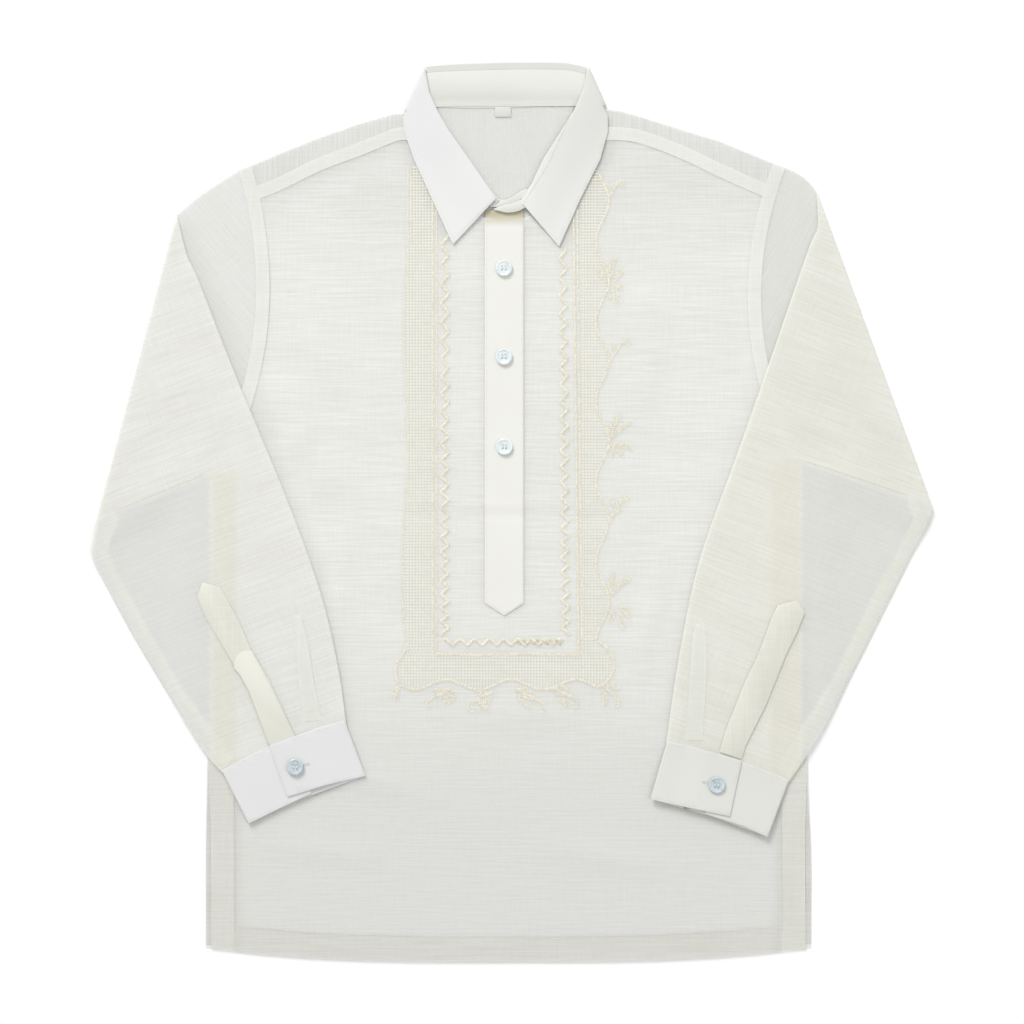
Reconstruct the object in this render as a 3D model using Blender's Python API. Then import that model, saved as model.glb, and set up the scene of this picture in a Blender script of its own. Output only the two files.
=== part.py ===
"""Barong tagalog: a sheer embroidered shirt, laid flat on its back with both sleeves folded over its front.

The shirt lies in the XY plane, collar towards +Y, and rests on z = 0. Sizes in the tables are millimetres.
Every piece that a maker cuts is one object. Cloth pieces lie in layers, each a wall with a thin gap above it.
"""

import math

import bmesh
import bpy
from mathutils import Vector

MM = 0.001

# Walls and gaps, mm
CLOTH = 1.0  # one ply of the sheer body and sleeve cloth, with its allowances
FUSED = 1.2  # the fused collar, cuffs and placket
GAP = 0.3  # between two layers that lie on each other
SEAM = 0.4  # between two pieces that a seam joins edge to edge

# Heights of the layers' undersides, mm
BACK_Z = 0.0
FRONT_Z = CLOTH + GAP
OVER_FRONT_Z = FRONT_Z + CLOTH + GAP  # what lies on the front: placket, folded sleeves, cuffs
SLEEVE_TOP_Z = OVER_FRONT_Z + 2 * CLOTH + GAP
COLLAR_PITCH = FUSED + GAP

ARC_STEPS = 5  # facets in a half turn of cloth

# Hem: a shallow curve that rises towards the side vents
HEM_MIDDLE_X = -3.0
HEM_LOW_Y = -405.0
HEM_RISE = 13.0
HEM_HALF_WIDTH = 272.0

BACK_YOKE_SEAM_Y = 235.0
FRONT_VENT_INSET = 5.0  # the front is narrower than the back below the side seams
VENT_TOP_Y = -225.0

PLACKET_WIDTH = 35.0
PLACKET_MIDDLE_X = -7.0
PLACKET_TOP_Y = 261.0
PLACKET_POINT_Y = -93.2
PLACKET_POINT_RISE = 11.3
SLIT_WIDTH = 1.0
SLIT_END_Y = -70.0

BUTTON_RADIUS = 7.5
BUTTON_HEIGHT = 2.4
BUTTON_RIM = 1.6
BUTTON_DISH = 0.5
BUTTON_HOLE_RADIUS = 0.9
BUTTON_HOLE_SPACING = 3.2

# Armholes: the seam bows from the shoulder tip to the armpit
ARMHOLES = {
    "left": {"shoulder": (-244.8, 308.0), "armpit": (-270.0, 37.8), "bow": 27.0},
    "right": {"shoulder": (244.8, 309.8), "armpit": (259.2, 48.6), "bow": -28.5},
}

# Side seams of the back, from the armpit down
SIDE_COLUMNS = ("y", "left_x", "right_x")
SIDES = (
    (20.0, -268.2, 258.4),
    (-97.0, -270.9, 262.0),
    (-220.0, -273.6, 265.6),
    (-290.0, -275.4, 268.4),
    (-391.5, -275.4, 269.1),
)

# The yoke, a column across the shoulders per row: back seam, shoulder edge, and seam with the front.
# A row with no front seam is in the neck, and its edge is the neckline.
YOKE_COLUMNS = ("back_x", "edge_x", "edge_y", "front_x", "front_y")
YOKE = (
    (-229.0, -244.0, 308.4, -237.6, 277.6),
    (-205.0, -208.8, 323.1, -207.0, 290.5),
    (-170.0, -172.8, 337.5, -172.0, 307.5),
    (-135.0, -136.8, 350.1, -134.0, 322.0),
    (-104.0, -106.0, 358.6, -104.0, 334.0),
    (-90.0, -94.0, 359.4, -91.4, 334.6),
    (-60.0, -66.0, 364.6, None, None),
    (-6.0, -6.0, 365.0, None, None),
    (50.0, 56.0, 365.0, None, None),
    (80.0, 82.0, 363.0, 78.8, 334.8),
    (95.0, 97.0, 361.3, 96.0, 335.0),
    (115.0, 117.0, 355.6, 116.0, 331.8),
    (151.0, 151.2, 344.7, 151.2, 318.6),
    (187.0, 187.2, 333.9, 187.2, 301.5),
    (223.0, 244.0, 310.4, 230.6, 282.0),
)

# The front neckline from each yoke seam to the middle
NECKLINE = {
    "left": ((-90.8, 334.0), (-82.8, 315.0), (-66.6, 291.6), (-45.0, 273.6), (-24.3, 264.6), (-6.8, 262.0)),
    "right": ((78.3, 334.2), (70.2, 315.0), (54.0, 291.6), (32.4, 273.6), (11.7, 264.6), (-5.8, 262.0)),
}

# Sleeves as they lie: a row per section from armhole to cuff. over = overarm edge, under = underarm edge,
# bow = how far the section bows towards the shoulder, folded = 1 where that end lies past the fold.
SLEEVE_COLUMNS = ("over_x", "over_y", "over_folded", "under_x", "under_y", "under_folded", "bow")
SLEEVES = {
    "left": {
        "fold": ((-302.4, 265.5), (-378.6, -24.0)),
        "sections": (
            (-279.0, 286.5, 0, -316.8, 18.0, 0, 6.0),
            (-301.0, 267.5, 0, -366.3, -1.8, 0, 0.0),
            (-292.0, 231.0, 1, -376.0, -20.0, 1, 0.0),
            (-280.8, 206.1, 1, -378.0, -38.0, 1, 0.0),
            (-246.6, 118.8, 1, -368.5, -60.0, 1, 0.0),
            (-203.4, 14.4, 1, -339.3, -114.3, 1, 2.0),
            (-172.8, -70.0, 1, -306.0, -169.2, 1, 3.0),
            (-156.6, -137.7, 1, -278.0, -214.0, 1, 5.0),
            (-150.3, -186.7, 1, -261.0, -231.7, 1, 6.0),
        ),
    },
    "right": {
        "fold": ((277.2, 280.8), (378.9, 3.6)),
        "sections": (
            (262.0, 301.5, 0, 304.2, 36.9, 0, -6.0),
            (275.0, 287.0, 0, 362.0, 13.6, 0, 0.0),
            (274.6, 256.0, 1, 378.0, 1.5, 1, 0.0),
            (266.4, 235.8, 1, 372.0, -14.0, 1, 0.0),
            (232.2, 136.8, 1, 356.0, -46.0, 1, 0.0),
            (202.5, 52.2, 1, 335.0, -88.0, 1, -2.0),
            (169.2, -41.4, 1, 303.0, -151.0, 1, -3.0),
            (151.2, -124.2, 1, 277.0, -200.0, 1, -5.0),
            (139.5, -204.7, 1, 249.3, -239.8, 1, -3.0),
        ),
    },
}
SLEEVE_POINTS_ACROSS = 6

# Where the folded sleeve has nothing under it, outside the body and below the underarm, it sinks
SAG_DEPTH = 2.2
SAG_FROM_BODY = 16.0
SAG_RUN = 34.0
SAG_CLEAR = 2.0

# Sleeve plackets: left and right edges, cuff end first
SLEEVE_PLACKETS = {
    "left": (
        (-218.9, -208.6), (-225.0, -191.7), (-235.8, -160.2), (-249.3, -137.7), (-261.0, -117.9),
        (-273.6, -97.2), (-282.6, -76.5), (-278.1, -63.0), (-261.9, -67.5), (-253.8, -81.9),
        (-244.8, -99.0), (-234.0, -124.2), (-217.8, -151.2), (-204.3, -180.0), (-196.4, -197.4),
    ),
    "right": (
        (186.3, -215.4), (191.7, -196.2), (200.7, -173.7), (209.7, -151.2), (218.7, -133.2),
        (225.9, -115.2), (232.2, -97.2), (238.5, -83.7), (255.6, -79.2), (262.8, -90.0),
        (256.5, -106.2), (245.7, -128.7), (236.7, -151.2), (227.7, -173.7), (218.7, -191.7),
        (209.7, -209.7), (206.1, -221.8),
    ),
}

# Cuffs: a strip that starts at its overlap, turns under at the far fold, comes back and up at the near
# fold, and ends under the overlap. Each row is a line across the cuff; level counts fused layers.
CUFF_COLUMNS = ("name", "sleeve_x", "sleeve_y", "edge_x", "edge_y", "level")
CUFFS = {
    "left": (
        ("overlap end", -217.8, -209.7, -201.6, -255.6, 2),
        ("overlap step", -188.0, -198.4, -167.0, -245.0, 2),
        ("overlap foot", -170.0, -192.0, -150.0, -241.0, 1),
        ("far fold", -150.3, -187.2, -131.4, -236.7, 1),
        ("under", -205.0, -205.5, -190.0, -258.0, 0),
        ("near fold", -261.0, -232.2, -236.7, -279.9, 0),
        ("underlap", -230.0, -215.6, -212.0, -267.5, 1),
        ("underlap end", -198.0, -202.2, -180.0, -252.5, 1),
    ),
    "right": (
        ("overlap end", 206.1, -223.2, 195.3, -272.7, 2),
        ("overlap step", 175.0, -214.0, 163.0, -266.0, 2),
        ("overlap foot", 158.0, -209.6, 144.0, -262.0, 1),
        ("far fold", 139.5, -205.2, 124.2, -257.4, 1),
        ("under", 195.0, -220.0, 180.0, -273.5, 0),
        ("near fold", 249.3, -240.3, 229.5, -291.6, 0),
        ("underlap", 220.0, -228.5, 207.0, -281.5, 1),
        ("underlap end", 186.0, -217.4, 173.0, -270.5, 1),
    ),
}

# Collar as it lies, from its left front end round the back to its right front end. roll = the folded top
# edge, fall = the leaf's free edge, seam = the band's neck seam. wing says which side fold a row lies past.
COLLAR_FOLDS = {"left": ((-81.0, 398.5), (-97.0, 362.8)), "right": ((70.5, 397.5), (85.0, 365.2))}
COLLAR_COLUMNS = ("wing", "roll_x", "roll_y", "fall_x", "fall_y", "seam_x", "seam_y")
COLLAR = (
    ("left", -14.0, 282.0, -53.1, 240.3, -22.0, 266.5),
    ("left", -36.0, 313.5, -70.5, 278.0, -48.0, 277.5),
    ("left", -57.0, 343.5, -87.3, 315.0, -74.0, 303.0),
    ("left", -67.0, 361.0, -97.2, 342.5, -86.0, 324.0),
    ("left", -74.0, 377.0, -98.2, 353.4, -91.5, 346.0),
    ("left", -78.0, 398.2, -94.7, 360.8, -91.8, 361.5),
    ("back", -77.2, 400.0, -93.9, 362.6, -90.8, 363.2),
    ("back", -60.0, 403.4, -60.0, 365.6, -60.0, 364.8),
    ("back", -6.0, 405.0, -6.0, 366.0, -6.0, 365.2),
    ("back", 48.0, 404.6, 48.0, 366.0, 50.0, 365.2),
    ("back", 66.0, 400.4, 80.6, 366.4, 78.6, 365.4),
    ("right", 67.0, 396.6, 81.6, 365.0, 79.6, 364.0),
    ("right", 63.6, 379.0, 86.0, 355.3, 81.0, 349.0),
    ("right", 56.0, 361.5, 86.4, 342.5, 77.5, 332.0),
    ("right", 47.0, 347.0, 79.2, 316.8, 70.0, 315.0),
    ("right", 28.0, 317.0, 61.2, 280.8, 54.0, 292.6),
    ("right", 9.2, 277.0, 42.3, 238.5, 15.0, 266.4),
)
LEAF_LIP = 5.0  # from the roll back to the leaf's seam with the band
BAND_CLEAR = 0.9  # from the leaf's lip to the band's top edge

# The band's two front ends, past the leaf; the left one drops and lies under the right one
BAND_END_COLUMNS = ("top_x", "top_y", "seam_x", "seam_y", "drop")
BAND_ENDS = {
    "left": (
        (8.0, 286.6, 6.0, 271.0, 1.5), (-4.0, 282.0, -6.0, 265.6, 1.5), (-15.8, 278.4, -17.4, 265.8, 1.5),
    ),
    "right": (
        (6.0, 277.6, 5.0, 269.0, 0.0), (-10.8, 275.4, -8.0, 270.2, 0.0), (-16.2, 273.4, -16.0, 272.4, 0.0),
    ),
}

LABEL_MIDDLE = (-8.1, 359.9)
LABEL_SIZE = (14.4, 9.0)
LABEL_THICK = 1.0

FRONT_BUTTONS = ((-7.3, 219.1), (-7.3, 139.5), (-6.8, 58.6))
CUFF_BUTTONS = {"left": (-194.4, -228.6), "right": (183.6, -244.8)}

MATERIALS = {
    "sheer cloth": ((0.82, 0.82, 0.77), 0.85),
    "fused cloth": ((0.86, 0.86, 0.83), 0.80),
    "cream ribbon": ((0.83, 0.80, 0.72), 0.75),
    "pearly plastic": ((0.62, 0.74, 0.80), 0.25),
}


def rows(table, columns):
    """Each row of a table as a dictionary under its column names."""
    return [dict(zip(columns, row)) for row in table]


def flat(x, y):
    return Vector((x, y, 0.0))


def make_material(name):
    color, roughness = MATERIALS[name]
    material = bpy.data.materials.get(name) or bpy.data.materials.new(name)
    material.use_nodes = True
    shader = material.node_tree.nodes["Principled BSDF"]
    shader.inputs["Base Color"].default_value = (*color, 1.0)
    shader.inputs["Roughness"].default_value = roughness
    return material


def finish(bm, name, material):
    """Turn a bmesh built in millimetres into an object in metres, faces out."""
    bmesh.ops.scale(bm, vec=Vector((MM, MM, MM)), verts=bm.verts)
    bmesh.ops.recalc_face_normals(bm, faces=bm.faces)
    mesh = bpy.data.meshes.new(name)
    bm.to_mesh(mesh)
    bm.free()
    mesh.materials.append(make_material(material))
    piece = bpy.data.objects.new(name, mesh)
    bpy.context.scene.collection.objects.link(piece)
    return piece


def plate(outline, bottom, thickness):
    """A flat wall: the outline's face, pushed up by its thickness."""
    bm = bmesh.new()
    face = bm.faces.new([bm.verts.new((x, y, bottom)) for x, y in outline])
    raised = bmesh.ops.extrude_face_region(bm, geom=[face])["geom"]
    raised = [piece for piece in raised if isinstance(piece, bmesh.types.BMVert)]
    bmesh.ops.translate(bm, vec=(0, 0, thickness), verts=raised)
    bmesh.ops.recalc_face_normals(bm, faces=bm.faces)
    bmesh.ops.triangulate(bm, faces=bm.faces)
    return bm


def loft(sections, ring=False):
    """Skin a run of closed sections with equal counts of points. A ring's last section meets its first."""
    bm = bmesh.new()
    loops = [[bm.verts.new(point) for point in section] for section in sections]
    count = len(loops[0])
    pairs = list(zip(loops, loops[1:] + loops[:1])) if ring else list(zip(loops, loops[1:]))
    for first, second in pairs:
        for k in range(count):
            after = (k + 1) % count
            bm.faces.new((first[k], first[after], second[after], second[k]))
    if not ring:
        bm.faces.new(loops[0])
        bm.faces.new(loops[-1])
    bmesh.ops.recalc_face_normals(bm, faces=bm.faces)
    return bm


class Fold:
    """A fold of cloth over a straight edge. What lies outside the edge turns up and back over the rest.

    The edge is where the finished fold's outside lies. axis_z is the height the layers turn about.
    """

    def __init__(self, edge, outward_x, axis_z):
        start, end = (flat(*point) for point in edge)
        along = (end - start).normalized()
        self.out = Vector((along.y, -along.x, 0.0))
        if self.out.x * outward_x < 0:
            self.out.negate()
        self.axis_z = axis_z
        self.origin = start - self.out * axis_z
        self.radius = axis_z / 2
        self.length = math.pi * self.radius

    def reach(self, point):
        """How far a point lies outside the line where the turn starts."""
        return (flat(point[0], point[1]) - self.origin).dot(self.out)

    def unfold(self, point):
        """Where a point of the upper layer lies before the fold is made."""
        place = flat(*point)
        return place + self.out * (self.length - 2 * self.reach(place))

    def bend(self, bm):
        """Cut the mesh along the turn, then roll what lies outside it up and over."""
        for k in range(ARC_STEPS + 1):
            line = self.origin + self.out * (self.length * k / ARC_STEPS)
            everything = list(bm.verts) + list(bm.edges) + list(bm.faces)
            bmesh.ops.bisect_plane(bm, geom=everything, dist=1e-5, plane_co=line, plane_no=self.out)
        for vert in bm.verts:
            outside = self.reach(vert.co)
            if outside <= 0:
                continue
            turn = min(outside, self.length) / self.radius
            radius = self.axis_z - vert.co.z
            past = max(outside - self.length, 0.0)
            shift = radius * math.sin(turn) - past - outside
            vert.co += self.out * shift
            vert.co.z = self.axis_z - radius * math.cos(turn)


def bowed(start, end, bow, count):
    """Points on a shallow arc; a positive bow bulges to the right of the way from start to end."""
    start, end = flat(*start[:2]), flat(*end[:2])
    along = (end - start).normalized()
    side = Vector((along.y, -along.x, 0.0))
    steps = [k / (count - 1) for k in range(count)]
    return [start.lerp(end, t) + side * (4 * t * (1 - t) * bow) for t in steps]


def armhole(side, below, count=13):
    """The armhole seam from the shoulder down, as far as it lies below a height."""
    hole = ARMHOLES[side]
    seam = bowed(hole["shoulder"], hole["armpit"], -hole["bow"], count)
    return [(point.x, point.y) for point in seam if point.y < below]


def hem_y(x):
    return HEM_LOW_Y + HEM_RISE * abs((x - HEM_MIDDLE_X) / HEM_HALF_WIDTH) ** 3


def side_seam(side, inset):
    """A side edge from armpit to hem. Below the vent's top it lies inside the full width by the inset."""
    points = []
    for row in rows(SIDES, SIDE_COLUMNS):
        x = row[side + "_x"]
        inward = 1.0 if side == "left" else -1.0
        if row["y"] < VENT_TOP_Y:
            x += inward * inset
        points.append((x, row["y"]))
    return points


def hem(left_x, right_x, steps=12):
    xs = [left_x + (right_x - left_x) * k / steps for k in range(steps + 1)]
    return [(x, hem_y(x)) for x in xs]


def body_outline(top, inset, below):
    """Anticlockwise: across the top from right to left, down the left side, along the hem, up the right."""
    left, right = side_seam("left", inset), side_seam("right", inset)
    bottom = hem(left[-1][0], right[-1][0])
    return (
        top + armhole("left", below) + left[:-1] + bottom + right[-2::-1] + armhole("right", below)[::-1]
    )


def make_back():
    top_y = BACK_YOKE_SEAM_Y - SEAM
    top = [(rows(YOKE, YOKE_COLUMNS)[-1]["back_x"], top_y), (rows(YOKE, YOKE_COLUMNS)[0]["back_x"], top_y)]
    finish(plate(body_outline(top, 0.0, top_y - 4), BACK_Z, CLOTH), "back", "sheer cloth")


def make_front():
    """One panel, slit down the middle under the placket."""
    seam = [(row["front_x"], row["front_y"] - SEAM) for row in rows(YOKE, YOKE_COLUMNS) if row["front_x"]]
    left_seam = [point for point in seam if point[0] < NECKLINE["left"][0][0] - 2]
    right_seam = [point for point in seam if point[0] > NECKLINE["right"][0][0] + 2]
    slit = SLIT_WIDTH / 2
    middle = [(PLACKET_MIDDLE_X + slit, SLIT_END_Y), (PLACKET_MIDDLE_X - slit, SLIT_END_Y)]
    top = right_seam[::-1] + list(NECKLINE["right"]) + middle + list(NECKLINE["left"])[::-1] + left_seam[::-1]
    lowest = min(seam[0][1], seam[-1][1])
    finish(plate(body_outline(top, FRONT_VENT_INSET, lowest - 4), FRONT_Z, CLOTH), "front", "sheer cloth")


def make_yoke():
    """The back yoke, turned over both shoulder edges to its seam with the front."""
    columns = rows(YOKE, YOKE_COLUMNS)
    low, high = BACK_Z + CLOTH / 2, FRONT_Z + CLOTH / 2
    turn_radius = (high - low) / 2
    reach = turn_radius + CLOTH / 2
    arc = [math.pi * k / ARC_STEPS for k in range(1, ARC_STEPS)]
    bm = bmesh.new()
    previous = None
    for column in columns:
        over = column["front_x"] is not None
        edge_y = column["edge_y"] - (reach if over else 0)
        points = [(column["back_x"], BACK_YOKE_SEAM_Y, low), (column["edge_x"], edge_y, low)]
        if over:
            points += [
                (column["edge_x"], edge_y + turn_radius * math.sin(a), low + turn_radius * (1 - math.cos(a)))
                for a in arc
            ]
            points += [(column["edge_x"], edge_y, high), (column["front_x"], column["front_y"], high)]
        strip = [bm.verts.new(point) for point in points]
        if previous:
            for k in range(min(len(strip), len(previous)) - 1):
                bm.faces.new((previous[k], previous[k + 1], strip[k + 1], strip[k]))
        previous = strip
    bmesh.ops.recalc_face_normals(bm, faces=bm.faces)
    piece = finish(bm, "yoke", "sheer cloth")
    wall = piece.modifiers.new("wall", "SOLIDIFY")
    wall.thickness = CLOTH * MM
    wall.offset = 0.0
    wall.use_even_offset = True


def stadium(line, radius, middle_z):
    """The closed section of a flattened tube round a line of plan points, with round ends."""
    start_out = (line[0] - line[1]).normalized()
    end_out = (line[-1] - line[-2]).normalized()
    arc = [math.pi * k / ARC_STEPS for k in range(1, ARC_STEPS)]
    down, up = Vector((0, 0, middle_z - radius)), Vector((0, 0, middle_z + radius))
    lower = [point + down for point in line]
    upper = [point + up for point in reversed(line)]
    far, near = [], []
    for a in arc:
        rise = Vector((0, 0, radius * math.cos(a)))
        centre = Vector((0, 0, middle_z))
        far.append(line[-1] + end_out * radius * math.sin(a) + centre - rise)
        near.append(line[0] + start_out * radius * math.sin(a) + centre + rise)
    return lower + far + upper + near


def sleeve_lines(side, fold):
    """Plan lines from underarm to overarm, laid out flat as if the sleeve weren't folded."""
    hole = ARMHOLES[side]
    rounding = (FRONT_Z + CLOTH) / 2
    clear = -SEAM if side == "left" else SEAM
    seam = bowed(hole["armpit"], hole["shoulder"], hole["bow"], SLEEVE_POINTS_ACROSS)
    lines = [[point + Vector((clear, 0, 0)) for point in seam]]
    for row in rows(SLEEVES[side]["sections"], SLEEVE_COLUMNS):
        over, under = (row["over_x"], row["over_y"]), (row["under_x"], row["under_y"])
        over = fold.unfold(over) if row["over_folded"] else flat(*over)
        under = fold.unfold(under) if row["under_folded"] else flat(*under)
        lines.append(bowed(under, over, row["bow"], SLEEVE_POINTS_ACROSS))
    for line in lines:
        along = (line[-1] - line[0]).normalized() * rounding
        line[0] += along
        line[-1] -= along
    return lines


def sag(bm, side, fold):
    """Let the folded sleeve sink where neither the body nor the sleeve itself lies under it."""
    hole = ARMHOLES[side]
    outward = -1.0 if side == "left" else 1.0
    body_edge = flat(hole["armpit"][0] + outward * SAG_FROM_BODY, 0)
    underarm_end = rows(SLEEVES[side]["sections"], SLEEVE_COLUMNS)[1]
    armpit = flat(*hole["armpit"])
    along = (flat(underarm_end["under_x"], underarm_end["under_y"]) - armpit).normalized()
    below = Vector((along.y, -along.x, 0.0))
    if below.y > 0:
        below.negate()
    from_body = (body_edge, Vector((outward, 0, 0)))
    from_underarm = (armpit + below * SAG_CLEAR, below)
    from_fold = (fold.origin, -fold.out)
    for origin, way in (from_body, from_underarm, from_fold):
        for k in range(3):
            everything = list(bm.verts) + list(bm.edges) + list(bm.faces)
            line = origin + way * (SAG_RUN * k / 2)
            bmesh.ops.bisect_plane(bm, geom=everything, dist=1e-4, plane_co=line, plane_no=way)
    for vert in bm.verts:
        if vert.co.z < OVER_FRONT_Z - GAP / 2:
            continue
        share = 1.0
        for origin, way in (from_body, from_underarm, from_fold):
            t = min(max((flat(vert.co.x, vert.co.y) - origin).dot(way) / SAG_RUN, 0.0), 1.0)
            share *= t * t * (3 - 2 * t)
        vert.co.z -= SAG_DEPTH * share


def make_sleeve(side):
    """A flattened tube, open at the armhole and the cuff, folded over its outer edge."""
    axis_z = FRONT_Z + CLOTH + GAP / 2
    fold = Fold(SLEEVES[side]["fold"], -1 if side == "left" else 1, axis_z)
    middle_z = (FRONT_Z + CLOTH) / 2
    lines = sleeve_lines(side, fold)
    outside = [stadium(line, middle_z, middle_z) for line in lines]
    inside = [stadium(line, GAP / 2, middle_z) for line in lines]
    bm = loft(outside + inside[::-1], ring=True)
    fold.bend(bm)
    sag(bm, side, fold)
    finish(bm, "sleeve_" + side, "sheer cloth")


def make_sleeve_placket(side):
    finish(plate(SLEEVE_PLACKETS[side], SLEEVE_TOP_Z + GAP, CLOTH), "sleeve_placket_" + side, "fused cloth")


def make_cuff(side):
    """The cuff's strip, as sections along its path with half turns at its two folds."""
    base = OVER_FRONT_Z + FUSED / 2
    pitch = FUSED + GAP
    half = FUSED / 2
    path = []
    for row in rows(CUFFS[side], CUFF_COLUMNS):
        sleeve_end, edge_end = flat(row["sleeve_x"], row["sleeve_y"]), flat(row["edge_x"], row["edge_y"])
        z = base + pitch * row["level"]
        if "fold" not in row["name"]:
            up = -1.0 if row["level"] == 0 else 1.0
            path.append((sleeve_end, edge_end, Vector((0, 0, z)), Vector((0, 0, up * half))))
            continue
        outward = -1.0 if (row["name"] == "near fold") == (side == "left") else 1.0
        across = (edge_end - sleeve_end).normalized()
        out = Vector((-across.y, across.x, 0.0))
        if out.x * outward < 0:
            out.negate()
        radius = pitch / 2
        rise = 1.0 if row["name"] == "near fold" else -1.0
        centre_z = z + rise * radius
        for k in range(ARC_STEPS + 1):
            a = math.pi * k / ARC_STEPS
            radial = out * math.sin(a) + Vector((0, 0, -rise * math.cos(a)))
            inset = out * -(radius + half)
            centre = Vector((0, 0, centre_z)) + inset + radial * radius
            path.append((sleeve_end, edge_end, centre, radial * half))
    sections = [
        (a + shift + thick, b + shift + thick, b + shift - thick, a + shift - thick)
        for a, b, shift, thick in path
    ]
    finish(loft(sections), "cuff_" + side, "fused cloth")


def make_placket():
    """The front placket, with a pointed lower end."""
    half = PLACKET_WIDTH / 2
    corner_y = PLACKET_POINT_Y + PLACKET_POINT_RISE
    left, right = PLACKET_MIDDLE_X - half, PLACKET_MIDDLE_X + half
    outline = (
        (right, PLACKET_TOP_Y), (left, PLACKET_TOP_Y), (left, corner_y),
        (PLACKET_MIDDLE_X, PLACKET_POINT_Y), (right, corner_y),
    )
    finish(plate(outline, OVER_FRONT_Z, FUSED), "placket", "fused cloth")


def collar_folds():
    axis_z = 2 * COLLAR_PITCH - GAP / 2
    return {side: Fold(edge, -1 if side == "left" else 1, axis_z) for side, edge in COLLAR_FOLDS.items()}


def laid_out(folds, wing, x, y):
    """A collar point in the plane of its back, before the fronts are folded over."""
    return flat(x, y) if wing == "back" else folds[wing].unfold((x, y))


def collar_rows(folds):
    """The collar's table with its points laid out flat."""
    laid = []
    for row in rows(COLLAR, COLLAR_COLUMNS):
        roll, fall, seam = (
            laid_out(folds, row["wing"], row[place + "_x"], row[place + "_y"])
            for place in ("roll", "fall", "seam")
        )
        laid.append((roll, fall, seam, (roll - fall).normalized()))
    return laid


def fold_fronts(bm, folds):
    bmesh.ops.triangulate(bm, faces=bm.faces)
    for fold in folds.values():
        fold.bend(bm)


def make_collar_leaf():
    """The leaf turns over its roll at every section, then both fronts fold over the back."""
    folds = collar_folds()
    turn_z = COLLAR_PITCH - GAP / 2
    outer, inner = turn_z, GAP / 2
    arc = [math.pi * k / ARC_STEPS for k in range(ARC_STEPS + 1)]
    up = Vector((0, 0, 1))
    sections = []
    for roll, fall, _, out in collar_rows(folds):
        centre = roll - out * outer
        lip = roll - out * LEAF_LIP
        outside = [centre + out * outer * math.sin(a) + up * (turn_z - outer * math.cos(a)) for a in arc]
        inside = [
            centre + out * inner * math.sin(a) + up * (turn_z - inner * math.cos(a)) for a in reversed(arc)
        ]
        edge = [lip + up * (turn_z + outer), lip + up * (turn_z + inner)]
        sections.append([fall] + outside + edge + inside + [fall + up * FUSED])
    bm = loft(sections)
    fold_fronts(bm, folds)
    finish(bm, "collar_leaf", "fused cloth")


def make_collar_band():
    """The stand inside the leaf, from neck seam to leaf seam, with its two overlapped front ends."""
    folds = collar_folds()
    ends = {side: [] for side in BAND_ENDS}
    for side, table in BAND_ENDS.items():
        for row in rows(table, BAND_END_COLUMNS):
            top = folds[side].unfold((row["top_x"], row["top_y"]))
            seam = folds[side].unfold((row["seam_x"], row["seam_y"]))
            ends[side].append((top, seam, row["drop"]))
    middle = [(roll - out * (LEAF_LIP + BAND_CLEAR), seam, 0.0) for roll, _, seam, out in collar_rows(folds)]
    sections = []
    for top, seam, drop in ends["left"] + middle + ends["right"]:
        low, high = Vector((0, 0, COLLAR_PITCH + drop)), Vector((0, 0, COLLAR_PITCH + drop + FUSED))
        sections.append((top + low, seam + low, seam + high, top + high))
    bm = loft(sections)
    fold_fronts(bm, folds)
    finish(bm, "collar_band", "fused cloth")


def make_label():
    (x, y), (width, height) = LABEL_MIDDLE, LABEL_SIZE
    outline = [(x + a * width / 2, y + b * height / 2) for a, b in ((-1, -1), (1, -1), (1, 1), (-1, 1))]
    finish(plate(outline, CLOTH + GAP, LABEL_THICK), "label", "cream ribbon")


def make_button(name, place, bottom):
    """A turned disc with a rim and a dished face, and four holes cut through it."""
    x, y = place
    profile = (
        (0.0, 0.0), (BUTTON_RADIUS - 1.2, 0.0), (BUTTON_RADIUS, 0.9), (BUTTON_RADIUS, BUTTON_HEIGHT - 0.7),
        (BUTTON_RADIUS - 0.6, BUTTON_HEIGHT), (BUTTON_RADIUS - BUTTON_RIM, BUTTON_HEIGHT),
        (BUTTON_RADIUS - BUTTON_RIM - 1.0, BUTTON_HEIGHT - BUTTON_DISH), (0.0, BUTTON_HEIGHT - BUTTON_DISH),
    )
    bm = bmesh.new()
    verts = [bm.verts.new((x + radius, y, bottom + z)) for radius, z in profile]
    edges = [bm.edges.new(pair) for pair in zip(verts, verts[1:])]
    bmesh.ops.spin(
        bm, geom=verts + edges, cent=(x, y, 0), axis=(0, 0, 1), angle=math.tau, steps=24, use_merge=True
    )
    bmesh.ops.remove_doubles(bm, verts=bm.verts, dist=1e-3)
    button = finish(bm, name, "pearly plastic")

    holes = bmesh.new()
    for a, b in ((-1, -1), (1, -1), (1, 1), (-1, 1)):
        made = bmesh.ops.create_cone(
            holes, cap_ends=True, segments=8, radius1=BUTTON_HOLE_RADIUS, radius2=BUTTON_HOLE_RADIUS,
            depth=BUTTON_HEIGHT * 3,
        )
        spot = (x + a * BUTTON_HOLE_SPACING / 2, y + b * BUTTON_HOLE_SPACING / 2, bottom + BUTTON_HEIGHT / 2)
        bmesh.ops.translate(holes, vec=spot, verts=made["verts"])
    cutter = finish(holes, name + "_holes", "pearly plastic")
    cutter.hide_render = True
    cutter.display_type = "WIRE"
    cut = button.modifiers.new("holes", "BOOLEAN")
    cut.operation = "DIFFERENCE"
    cut.solver = "EXACT"
    cut.object = cutter


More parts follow.
